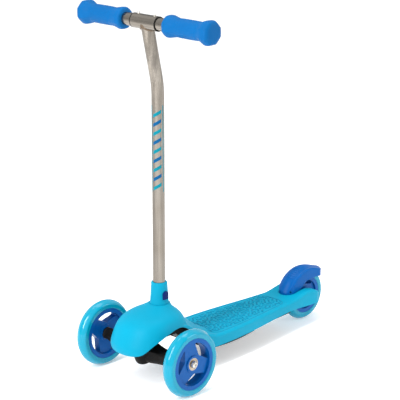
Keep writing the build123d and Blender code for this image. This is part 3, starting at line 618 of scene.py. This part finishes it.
def finishes():
    """Makes every finish once, and gives them by name."""
    hue = bpy.context.scene.scooter_finish
    return {
        "shell": moulded(
            "shell_plastic", hue.shell, deep=0.9, clean=0.46, marked=0.58, depth=0.1, wear=0.35
        ),
        # The tread's darker blue is painted shade for the shading in its relief.
        "tread": moulded("tread_plastic", hue.tread, clean=0.4, marked=0.52, wear=0.6),
        "tyre": moulded(
            "tyre_urethane",
            hue.tyre,
            deep=0.9,
            grain=500.0,
            depth=0.04,
            clean=0.16,
            marked=0.26,
            coat=0.25,
            wear=0.2,
            gloss=0.2,
        ),
        "hub": moulded("hub_plastic", hue.hub, clean=0.28, marked=0.4, depth=0.08, gloss=0.15),
        "fender": moulded("fender_plastic", hue.fender, clean=0.3, marked=0.42, depth=0.1, waviness=0.8),
        "grip": moulded(
            "grip_rubber", hue.grip, grain=1400.0, depth=0.2, clean=0.5, marked=0.62, wear=0.3
        ),
        "button": moulded("button_plastic", hue.button, clean=0.32, marked=0.45),
        "black": moulded(
            "black_nylon",
            hue.black,
            pale=3.0,
            grain=1100.0,
            depth=0.3,
            clean=0.42,
            marked=0.6,
            wear=0.5,
            dust=0.25,
        ),
        # The stem and bar steels' strong contrast paints dark and bright reflection streaks into their
        # colour.
        "steel": metal(
            "brushed_stem_steel",
            hue.steel,
            (1500.0, 1500.0, 10.0),
            low=0.2,
            high=0.32,
            depth=0.06,
            contrast=0.34,
        ),
        "bar_steel": metal(
            "brushed_bar_steel",
            hue.steel,
            (10.0, 1500.0, 1500.0),
            low=0.16,
            high=0.28,
            depth=0.05,
            contrast=0.3,
        ),
        "bearing": metal(
            "bearing_steel",
            (0.40, 0.34, 0.27),
            (60.0, 700.0, 700.0),
            low=0.2,
            high=0.36,
            depth=0.08,
            contrast=0.2,
        ),
        "zinc": metal(
            "turned_zinc",
            (0.66, 0.64, 0.60),
            (900.0, 60.0, 60.0),
            low=0.16,
            high=0.3,
            depth=0.05,
            contrast=0.08,
        ),
        "spring": metal("spring_wire", (0.4, 0.4, 0.41), (200.0, 200.0, 200.0), low=0.3, high=0.45),
        "weld": metal(
            "weld_steel",
            (0.20, 0.15, 0.11),
            (240.0, 240.0, 240.0),
            low=0.35,
            high=0.55,
            depth=0.5,
            contrast=0.3,
        ),
        "print_light": moulded(
            "stripe_print_light", (0.0, 0.21, 0.28), clean=0.3, marked=0.4, depth=0.03, wear=0.2
        ),
        "print_deep": moulded(
            "stripe_print_deep", (0.0, 0.09, 0.24), clean=0.3, marked=0.4, depth=0.03, wear=0.2
        ),
    }


FINISH = {}


def finish(name):
    """Gives a finish by name, making them all the first time."""
    if not FINISH:
        FINISH.update(finishes())
    return FINISH[name]


def clothe(material, *names):
    """Puts a finish on CAD nodes."""
    for name in names:
        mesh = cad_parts[name].data
        if not mesh.materials:
            mesh.materials.append(material)
        for i in range(len(mesh.materials)):
            mesh.materials[i] = material


# --- Mesh helpers ---


def piece(name, verts, faces, body, material):
    """Makes a smooth mesh piece that rides on a body."""
    mesh = bpy.data.meshes.new(name)
    mesh.from_pydata([tuple(v) for v in verts], [], faces)
    mesh.materials.append(material)
    shape = bmesh.new()
    shape.from_mesh(mesh)
    bmesh.ops.recalc_face_normals(shape, faces=shape.faces)
    shape.to_mesh(mesh)
    shape.free()
    mesh.polygons.foreach_set("use_smooth", [True] * len(mesh.polygons))
    made = bpy.data.objects.new(name, mesh)
    bpy.context.scene.collection.objects.link(made)
    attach(made, body)
    return made


def surface_of(name):
    """Ray-casting tree of a CAD node."""
    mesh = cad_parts[name].data
    return BVHTree.FromPolygons(
        [v.co.copy() for v in mesh.vertices], [tuple(p.vertices) for p in mesh.polygons]
    )


# Half-round section of a ridge: shares of its width across and of its height up, -1 being its foot.
RIDGE_SECTION = (
    (-0.5, -1.0), (-0.48, 0.25), (-0.34, 0.82), (0.0, 1.0), (0.34, 0.82), (0.48, 0.25), (0.5, -1.0),
)


def ring_faces(rows, around, closed=False):
    """Faces between rows of points round an axis; closed joins the last row to the first."""
    faces = []
    for i in range(rows if closed else rows - 1):
        up = ((i + 1) % rows - i) * around
        for k in range(around):
            a, b = i * around + k, i * around + (k + 1) % around
            faces.append((a, b, b + up, a + up))
    return faces


def end_caps(rows, around):
    """The two faces that close the first and the last row."""
    return [tuple(range(around)), tuple(reversed(range((rows - 1) * around, rows * around)))]


def ridge(path, width, height, sink, closed=False):
    """Rounded ridge along a path of (point, up) pairs."""
    verts = []
    count = len(path)
    for i, (point, up) in enumerate(path):
        before = path[(i - 1) % count][0] if closed or i else point
        after = path[(i + 1) % count][0] if closed or i < count - 1 else point
        along = (after - before).normalized()
        side = along.cross(up).normalized()
        for across, level in RIDGE_SECTION:
            lift = height * level if level > 0 else -sink
            verts.append(point + side * (across * width) + up * lift)
    faces = ring_faces(count, len(RIDGE_SECTION), closed)
    if not closed:
        faces += end_caps(count, len(RIDGE_SECTION))
    return verts, faces


def join_shapes(shapes):
    """Puts several (vertices, faces) together."""
    verts, faces = [], []
    for more, quads in shapes:
        base = len(verts)
        verts += more
        faces += [tuple(i + base for i in quad) for quad in quads]
    return verts, faces


# --- Stage ---

# Bright and dim panels of the light all round: (place along the ramp, brightness).
SKY_PANELS = (
    (0.10, 1.0), (0.19, 0.34), (0.28, 1.1), (0.47, 1.0), (0.56, 0.3), (0.63, 0.95), (0.80, 1.1), (0.88, 0.4),
    (0.95, 1.0),
)
# Name, place, the point it faces, its width and height, and the setting that gives its power.
SOFTBOXES = (
    ("key_softbox", (0.15, -2.5, 1.9), (0.0, -0.1, 0.2), (0.35, 2.2), "key"),
    ("fill_softbox", (2.4, 1.6, 1.5), (0.0, 0.0, 0.2), (1.2, 1.4), "fill"),
    ("top_softbox", (-0.4, 0.3, 2.9), (0.0, 0.0, 0.1), (1.8, 1.3), "fill"),
)
FLOOR_HALF = 9.0


def facing(direction):
    """Rotation that turns a camera's or a light's -Z along a direction."""
    return direction.to_track_quat("-Z", "Y").to_euler()


def add_camera(scene, stage):
    """Sets the camera, and the plain view transform."""
    data = bpy.data.cameras.new("camera")
    data.lens = stage.lens
    data.sensor_width = 36.0
    data.clip_end = 50.0
    camera = bpy.data.objects.new("camera", data)
    camera.location = stage.camera_place
    camera.rotation_euler = facing(Vector(stage.camera_aim))
    scene.collection.objects.link(camera)
    scene.camera = camera
    scene.view_settings.view_transform = "Standard"
    scene.view_settings.look = "None"


def add_sky(scene, stage):
    """Even light all round, with dimmer panels that show in the metal."""
    world = bpy.data.worlds.new("even_light")
    world.use_nodes = True
    sky = world.node_tree
    sky.nodes["Background"].inputs["Strength"].default_value = stage.sky
    way = node(sky, "ShaderNodeTexCoord").outputs["Generated"]
    round_about = node(sky, "ShaderNodeTexGradient", links={"Vector": way}, gradient_type="RADIAL")
    panels = node(sky, "ShaderNodeValToRGB", links={"Fac": round_about.outputs["Fac"]})
    ramp = panels.color_ramp
    ramp.interpolation = "EASE"
    ramp.elements[0].color = ramp.elements[1].color = (0.98, 0.99, 1.0, 1.0)
    for spot, tone in SKY_PANELS:
        ramp.elements.new(spot).color = (tone * 0.98, tone * 0.99, tone, 1.0)
    sky.links.new(panels.outputs["Color"], sky.nodes["Background"].inputs["Color"])
    scene.world = world


def add_lights(scene, stage):
    """Soft rectangular lights."""
    for name, place, aim, size, power in SOFTBOXES:
        light = bpy.data.lights.new(name, "AREA")
        light.shape = "RECTANGLE"
        light.size, light.size_y = size
        light.energy = getattr(stage, power)
        lamp = bpy.data.objects.new(name, light)
        lamp.location = place
        lamp.rotation_euler = facing(Vector(aim) - Vector(place))
        scene.collection.objects.link(lamp)


def add_floor(scene, stage):
    """Pale floor that gives off a little light."""
    half = FLOOR_HALF
    mesh = bpy.data.meshes.new("floor")
    mesh.from_pydata(
        [(-half, -half, 0), (half, -half, 0), (half, half, 0), (-half, half, 0)], [], [(0, 1, 2, 3)]
    )
    floor = bpy.data.objects.new("floor", mesh)
    material, tree, shader = blank("pale_floor")
    tone = (stage.floor_tone,) * 3
    drift = use(tree, "Tone Drift", Colour=rgba(tone), Deep=rgba(tone, 0.985), Scale=1.5)
    tree.links.new(drift.outputs["Colour"], shader.inputs["Base Color"])
    shader.inputs["Roughness"].default_value = 0.8
    shader.inputs["Emission Color"].default_value = PLAIN
    shader.inputs["Emission Strength"].default_value = stage.floor_glow
    mesh.materials.append(material)
    scene.collection.objects.link(floor)


class SCOOTER_OT_stage(Operator):
    """Sets the camera, the soft lights and the pale floor."""

    bl_idname = "scooter.stage"
    bl_label = "Camera, light and floor"

    def execute(self, context):
        scene, stage = context.scene, context.scene.scooter_stage
        for add in (add_camera, add_sky, add_lights, add_floor):
            add(scene, stage)
        return {"FINISHED"}


# --- Finishes of the frame's parts ---


class SCOOTER_OT_finishes(Operator):
    """Gives every carried-over part its finish."""

    bl_idname = "scooter.finishes"
    bl_label = "Finishes of the frame's parts"

    def execute(self, context):
        clothe(finish("shell"), "deck_shell", "stem_collar")
        clothe(finish("black"), "underframe", "truck_beam", "truck_bushes")
        clothe(finish("steel"), "stem_tube")
        clothe(finish("bar_steel"), "handlebar_sleeve", "left_grip_tube", "right_grip_tube")
        clothe(finish("weld"), "weld_bead")
        clothe(finish("button"), "release_button")
        clothe(finish("fender"), "fender")
        clothe(finish("grip"), "left_grip", "right_grip")
        clothe(finish("spring"), "left_snap_spring", "right_snap_spring", "latch_spring", "brake_spring")
        clothe(
            finish("zinc"),
            "deck_screws", "left_snap_pin", "right_snap_pin", "latch_pin", "thrust_washer", "kingpin_bolt",
            "kingpin_washer", "kingpin_nut", "front_left_axle_bolt", "front_right_axle_bolt",
            "front_left_axle_washers", "front_right_axle_washers", "rear_axle_bolt", "rear_axle_nut",
            "rear_axle_spacers", "brake_plate", "brake_pivot_pin",
        )
        for wheel in ("front_left", "front_right", "rear"):
            clothe(finish("tyre"), wheel + "_tyre")
            clothe(finish("hub"), wheel + "_hub")
            clothe(finish("bearing"), wheel + "_bearings", wheel + "_bearing_spacer")
        return {"FINISHED"}


# --- Deck tread ---

# Height at which the deck's side is upright, between its rounded edge and its foot.
DECK_SIDE_LEVEL = 0.0545
# The border line: its width, height and corner radius, and its steps along each side.
BORDER_WIDTH, BORDER_HEIGHT, BORDER_CORNER, BORDER_STEPS = 0.0013, 0.0004, 0.018, 46
# How far the ridges' feet go into the deck.
TREAD_SINK = 0.0003
# In pitches: the first row from the front end, the two ends' room, the room at the sides, and
# how much narrower each of the last two rows is.
FIRST_ROW, END_ROOM, SIDE_ROOM, END_TAPER, TAPERED_ROWS = 1.1, 1.2, 0.75, 0.8, 2
# In pitches: the radius of a turn, the shortest step along a ridge and half of a lone ridge.
TURN_RADIUS, SHORTEST_STEP, LONE_HALF = 0.46, 0.06, 0.22
# Steps of one ridge, and how often it turns where it could go straight on.
FEWEST_STEPS, MOST_STEPS, TURNING = 3, 8, 0.75


def tread_cells(tread, rows, half_width):
    """Grid places of the labyrinth inside the border, as (across, along) numbers."""
    pitch, cells = tread.pitch, set()
    for j in range(rows + 1):
        y = tread.start + FIRST_ROW * pitch + j * pitch
        room = half_width(y) - tread.margin - SIDE_ROOM * pitch
        from_end = min(j, rows - j)
        if from_end < TAPERED_ROWS:
            room -= (TAPERED_ROWS - from_end) * END_TAPER * pitch
        across = int(room / pitch)
        cells |= {(i, j) for i in range(-across, across + 1)}
    return cells


def wander(free, seed):
    """Short random walks that use every free place once."""
    rng = random.Random(seed)
    order = sorted(free)
    rng.shuffle(order)
    walks = []
    for start in order:
        if start not in free:
            continue
        walk = [start]
        free.discard(start)
        last = None
        for _ in range(rng.randint(FEWEST_STEPS, MOST_STEPS)):
            i, j = walk[-1]
            steps = [(1, 0), (-1, 0), (0, 1), (0, -1)]
            rng.shuffle(steps)
            if last in steps and rng.random() < TURNING:
                steps.remove(last)
                steps.append(last)
            for di, dj in steps:
                if (i + di, j + dj) in free:
                    last = (di, dj)
                    walk.append((i + di, j + dj))
                    free.discard(walk[-1])
                    break
            else:
                break
        walks.append(walk)
    return walks


def rounded(corners, radius, shortest):
    """A broken line with rounded corners, without its very short steps."""
    line = [corners[0]]
    for a, b, c in zip(corners, corners[1:], corners[2:]):
        start, end = b + (a - b).normalized() * radius, b + (c - b).normalized() * radius
        for t in (0.0, 0.25, 0.5, 0.75, 1.0):
            line.append(start * (1 - t) ** 2 + b * (2 * t * (1 - t)) + end * t**2)
    line.append(corners[-1])
    kept = [line[0]]
    for point in line[1:]:
        if (point - kept[-1]).length > shortest:
            kept.append(point)
    return kept


def border_line(tread, half_width):
    """Outline that follows the deck's edge, with round corners."""
    side = []
    for k in range(BORDER_STEPS + 1):
        y = tread.start + (tread.end - tread.start) * k / BORDER_STEPS
        room = half_width(y) - tread.margin
        near = min(y - tread.start, tread.end - y)
        if near < BORDER_CORNER:
            room -= BORDER_CORNER - math.sqrt(max(0.0, BORDER_CORNER**2 - (BORDER_CORNER - near) ** 2))
        side.append((room, y))
    return side + [(-x, y) for x, y in reversed(side)]


class SCOOTER_OT_deck_tread(Operator):
    """Raises the labyrinth and its border line on the deck."""

    bl_idname = "scooter.deck_tread"
    bl_label = "Deck tread"

    def execute(self, context):
        tread = context.scene.scooter_tread
        pitch = tread.pitch
        deck = surface_of("deck_shell")

        def half_width(y):
            hit = deck.ray_cast(Vector((0.3, y, DECK_SIDE_LEVEL)), Vector((-1, 0, 0)))[0]
            if hit is None:
                raise RuntimeError("the deck has no side at %.3f" % y)
            return hit.x

        def on_deck(x, y):
            hit, normal = deck.ray_cast(Vector((x, y, 0.3)), Vector((0, 0, -1)))[:2]
            if hit is None:
                raise RuntimeError("the tread leaves the deck")
            return hit, (normal if normal.z > 0 else -normal)

        def place(cell):
            return Vector((cell[0] * pitch, tread.start + FIRST_ROW * pitch + cell[1] * pitch, 0))

        rows = int((tread.end - tread.start - END_ROOM * pitch) / pitch)
        shapes = []
        for walk in wander(tread_cells(tread, rows, half_width), tread.seed):
            corners = [place(cell) for cell in walk]
            if len(corners) == 1:
                half = Vector((LONE_HALF * pitch, 0, 0))
                corners = [corners[0] - half, corners[0] + half]
            line = rounded(corners, TURN_RADIUS * pitch, SHORTEST_STEP * pitch)
            path = [on_deck(point.x, point.y) for point in line]
            shapes.append(ridge(path, tread.ridge_width, tread.ridge_height, TREAD_SINK))
        path = [on_deck(x, y) for x, y in border_line(tread, half_width)]
        shapes.append(ridge(path, BORDER_WIDTH, BORDER_HEIGHT, TREAD_SINK, closed=True))
        verts, faces = join_shapes(shapes)
        # The ridges take the darker tread finish: painted shade, standing for the shading in the tread's
        # relief.
        piece("deck_tread", verts, faces, "chassis", finish("tread"))
        return {"FINISHED"}


# --- Handlebar ---

# Outline of a grip as (share of its length, share of the named radius).
FLANGE = (
    (0.0, 0.72), (0.006, 0.86), (0.02, 0.95), (0.045, 0.995), (0.075, 1.0), (0.105, 0.985), (0.135, 0.945),
)
FLANGE_FOOT = ((0.165, 1.1), (0.195, 1.055), (0.23, 1.02), (0.27, 1.0))
BULB_FOOT = ((0.715, 1.0), (0.74, 1.02), (0.765, 1.07))
BULB = (
    (0.795, 0.87), (0.82, 0.93), (0.845, 0.975), (0.875, 1.0), (0.905, 1.0), (0.935, 0.985), (0.957, 0.95),
    (0.974, 0.89), (0.986, 0.8), (0.994, 0.66), (0.998, 0.45), (1.0, 0.2),
)
# The held part: where it begins and ends, its rings, and how much it swells in the middle.
HELD_START, HELD_END, HELD_RINGS, HELD_SWELL = 0.285, 0.70, 150, 0.012
# The pips: where they begin and end, their rows' pitch, how many go round, and the square of
# their radius in pitches.
PIPS_START, PIPS_END, PIP_PITCH, PIPS_ROUND, PIP_REACH = 0.292, 0.693, 0.0028, 36, 0.16
# How strongly a full facet flattens a ring, about the middle of its eight sides.
FACET_DEPTH, FACET_MIDDLE = 0.75, 0.985
GRIP_TURNS = 192


def grip_profile(grip):
    """Rings of a grip from its inner end, as (share of length, radius, how faceted)."""
    rings = [(t, grip.flange_radius * r, 0.55) for t, r in FLANGE]
    rings += [(t, grip.waist_radius * r, 0.25) for t, r in FLANGE_FOOT]
    for k in range(HELD_RINGS + 1):
        t = HELD_START + (HELD_END - HELD_START) * k / HELD_RINGS
        swell = 1.0 + HELD_SWELL * math.sin(math.pi * k / HELD_RINGS)
        rings.append((t, grip.waist_radius * swell, 0.0))
    rings += [(t, grip.waist_radius * r, 0.3) for t, r in BULB_FOOT]
    rings += [(t, grip.bulb_radius * r, 1.0 if r > 0.6 else 0.3) for t, r in BULB]
    return rings


def eight_sided(angle):
    """Radius of an eight-sided outline against the circle round it."""
    eighth = (angle + math.pi / 8) % (math.pi / 4) - math.pi / 8
    return math.cos(math.pi / 8) / math.cos(eighth)


def pip(along, angle):
    """Height of the staggered pips, from 0 to 1, at a place on the held part."""
    row = along / PIP_PITCH
    across = angle / (2 * math.pi) * PIPS_ROUND + 0.5 * (int(row) % 2)
    u, v = (across % 1) - 0.5, (row % 1) - 0.5
    return max(0.0, 1 - (u * u + v * v) / PIP_REACH)


class SCOOTER_OT_grips(Operator):
    """Builds the two soft grips with faceted bulbs and pips on the held part."""

    bl_idname = "scooter.grips"
    bl_label = "Handlebar grips"

    def execute(self, context):
        grip = context.scene.scooter_grip
        length = grip.outer_end - grip.inner_end
        profile = grip_profile(grip)
        for side, name in ((1, "left_grip"), (-1, "right_grip")):
            low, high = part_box(name)
            y, z = (low[1] + high[1]) / 2, (low[2] + high[2]) / 2
            verts = []
            for t, radius, facet in profile:
                x = side * (grip.inner_end + length * t)
                for k in range(GRIP_TURNS):
                    angle = 2 * math.pi * k / GRIP_TURNS
                    r = radius * (1 + facet * FACET_DEPTH * (eight_sided(angle) - FACET_MIDDLE))
                    if PIPS_START < t < PIPS_END:
                        r += grip.pip_height * pip((t - PIPS_START) * length, angle)
                    verts.append((x, y + r * math.cos(angle), z + r * math.sin(angle)))
            faces = ring_faces(len(profile), GRIP_TURNS) + end_caps(len(profile), GRIP_TURNS)
            made = piece(name + "_cover", verts, faces, "chassis", finish("grip"))
            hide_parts(name)
        return {"FINISHED"}


class SCOOTER_OT_bar_liners(Operator):
    """Puts the dark plastic liners in both mouths of the handlebar sleeve."""

    bl_idname = "scooter.bar_liners"
    bl_label = "Sleeve liners"

    def execute(self, context):
        low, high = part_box("handlebar_sleeve")
        y, z = (low[1] + high[1]) / 2, (low[2] + high[2]) / 2
        outer = (high[2] - low[2]) / 2
        turns = 72
        for side, mouth, name in ((1, high[0], "left_sleeve_liner"), (-1, low[0], "right_sleeve_liner")):
            rim = [
                (0.0, outer - 1.25 * MM), (0.0, outer - 0.3 * MM), (0.3 * MM, outer), (1.3 * MM, outer),
                (1.7 * MM, outer - 0.5 * MM), (1.7 * MM, outer - 1.45 * MM), (0.6 * MM, outer - 1.5 * MM),
            ]
            verts = []
            for along, radius in rim:
                for k in range(turns):
                    angle = 2 * math.pi * k / turns
                    verts.append(
                        (mouth + side * along, y + radius * math.cos(angle), z + radius * math.sin(angle))
                    )
            faces = ring_faces(len(rim), turns, closed=True)
            piece(name, verts, faces, "chassis", finish("black"))
        return {"FINISHED"}


# --- Stem stripes ---

# Slanting bars of the print: how many, their thickness and how much they rise across the print.
BARS, BAR_THICK, BAR_SLANT = 9, 0.0062, 0.007
# Shares of the print's half width: how far the bars reach, and the two edge lines' place and width.
BAR_REACH, EDGE_LINES, EDGE_WIDTH = 0.62, (-1.0, 0.86), 0.14
# From the low edge to the first bar, and the room that both ends leave.
FIRST_BAR, BAR_ROOM = 0.010, 0.024
# Clearance of the print's underside from the tube.
PRINT_LIFT = 0.00002
# Steps of a patch round the stem and up it.
PATCH_ROUND, PATCH_UP = 14, 6


def patch_faces(across, up):
    """Faces of a thin patch: its outer grid, its inner grid and its rim."""
    row, layer, faces = across + 1, (across + 1) * (up + 1), []
    for j in range(up):
        for i in range(across):
            a = j * row + i
            faces.append((a, a + 1, a + row + 1, a + row))
            faces.append((layer + a, layer + a + row, layer + a + row + 1, layer + a + 1))
    rim = list(range(row)) + [row * j + across for j in range(1, up + 1)]
    rim += [row * up + i for i in range(across - 1, -1, -1)] + [row * j for j in range(up - 1, 0, -1)]
    for a, b in zip(rim, rim[1:] + rim[:1]):
        faces.append((a, a + layer, b + layer, b))
    return faces


class SCOOTER_OT_stem_print(Operator):
    """Lays plain slanting stripes on the stem."""

    bl_idname = "scooter.stem_print"
    bl_label = "Stem stripes"

    def execute(self, context):
        band = context.scene.scooter_print
        low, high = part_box("stem_tube")
        radius = (high[0] - low[0]) / 2
        axis_y = high[1] - radius

        def patch(u0, u1, z0, z1, slant):
            """A curved four-sided patch; u runs round the stem from -1 to 1."""
            verts = []
            for lift in (radius + band.film, radius + PRINT_LIFT):
                for j in range(PATCH_UP + 1):
                    for i in range(PATCH_ROUND + 1):
                        u = u0 + (u1 - u0) * i / PATCH_ROUND
                        z = z0 + (z1 - z0) * j / PATCH_UP + slant * u
                        angle = band.bearing + u * band.spread
                        verts.append((lift * math.cos(angle), axis_y + lift * math.sin(angle), z))
            return verts, patch_faces(PATCH_ROUND, PATCH_UP)

        span = band.high_edge - band.low_edge
        light, deep = [], []
        for k in range(BARS):
            z = band.low_edge + FIRST_BAR + (span - BAR_ROOM) * k / (BARS - 1)
            bar = patch(-BAR_REACH, BAR_REACH, z - BAR_THICK / 2, z + BAR_THICK / 2, BAR_SLANT)
            (light if k % 2 == 0 else deep).append(bar)
        for edge in EDGE_LINES:
            light.append(patch(edge, edge + EDGE_WIDTH, band.low_edge, band.high_edge, 0.0))
        for name, shapes, tone in (
            ("stem_stripes_light", light, "print_light"), ("stem_stripes_deep", deep, "print_deep")
        ):
            verts, faces = join_shapes(shapes)
            piece(name, verts, faces, "chassis", finish(tone))
        return {"FINISHED"}


# --- Foot brake ribs ---

# Ribs on the foot brake: how many, the first one's angle round the rear wheel and the step to
# the next in degrees, and half their length with its steps.
RIBS, FIRST_RIB, RIB_STEP, RIB_HALF, RIB_POINTS = 6, 133, 5.2, 0.0085, 12
RIB_WIDTH, RIB_HEIGHT, RIB_SINK = 0.0017, 0.0007, 0.0004


class SCOOTER_OT_fender_ribs(Operator):
    """Raises a small ribbed patch on the foot brake, where the foot presses."""

    bl_idname = "scooter.fender_ribs"
    bl_label = "Foot brake ribs"

    def execute(self, context):
        hood = surface_of("fender")
        low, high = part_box("rear_tyre")
        centre = Vector((0.0, (low[1] + high[1]) / 2, (low[2] + high[2]) / 2))
        shapes = []
        for k in range(RIBS):
            angle = math.radians(FIRST_RIB - RIB_STEP * k)
            out = Vector((0.0, math.cos(angle), math.sin(angle)))
            path = []
            for i in range(RIB_POINTS + 1):
                x = -RIB_HALF + 2 * RIB_HALF * i / RIB_POINTS
                hit, normal = hood.ray_cast(centre + out * 0.15 + Vector((x, 0, 0)), -out)[:2]
                if hit is None:
                    raise RuntimeError("the foot brake isn't under its ribs")
                path.append((hit, normal if normal.dot(out) > 0 else -normal))
            shapes.append(ridge(path, RIB_WIDTH, RIB_HEIGHT, RIB_SINK))
        verts, faces = join_shapes(shapes)
        piece("fender_ribs", verts, faces, "foot_brake", finish("fender"))
        return {"FINISHED"}


# --- Panel and registration ---

OPERATORS = (
    SCOOTER_OT_stage,
    SCOOTER_OT_finishes,
    SCOOTER_OT_deck_tread,
    SCOOTER_OT_grips,
    SCOOTER_OT_bar_liners,
    SCOOTER_OT_stem_print,
    SCOOTER_OT_fender_ribs,
)


class SCOOTER_PT_sidebar(Panel):
    """Lists the scooter's settings and the steps that build it."""

    bl_idname = "SCOOTER_PT_sidebar"
    bl_label = "Kick scooter"
    bl_space_type = "VIEW_3D"
    bl_region_type = "UI"
    bl_category = "Scooter"

    def draw(self, context):
        layout = self.layout
        for name, group in SETTINGS.items():
            box = layout.box()
            box.label(text=group.__doc__.rstrip("."))
            values = getattr(context.scene, name)
            for key in group.__annotations__:
                box.prop(values, key)
        for step in OPERATORS:
            layout.operator(step.bl_idname)


def register():
    for group in SETTINGS.values():
        bpy.utils.register_class(group)
    for name, group in SETTINGS.items():
        setattr(bpy.types.Scene, name, PointerProperty(type=group))
    for step in OPERATORS:
        bpy.utils.register_class(step)
    bpy.utils.register_class(SCOOTER_PT_sidebar)


def unregister():
    bpy.utils.unregister_class(SCOOTER_PT_sidebar)
    for step in reversed(OPERATORS):
        bpy.utils.unregister_class(step)
    for name in SETTINGS:
        delattr(bpy.types.Scene, name)
    for group in reversed(list(SETTINGS.values())):
        bpy.utils.unregister_class(group)


def main():
    register()
    for step in OPERATORS:
        family, name = step.bl_idname.split(".")
        getattr(getattr(bpy.ops, family), name)()


if __name__ == "__main__":
    main()
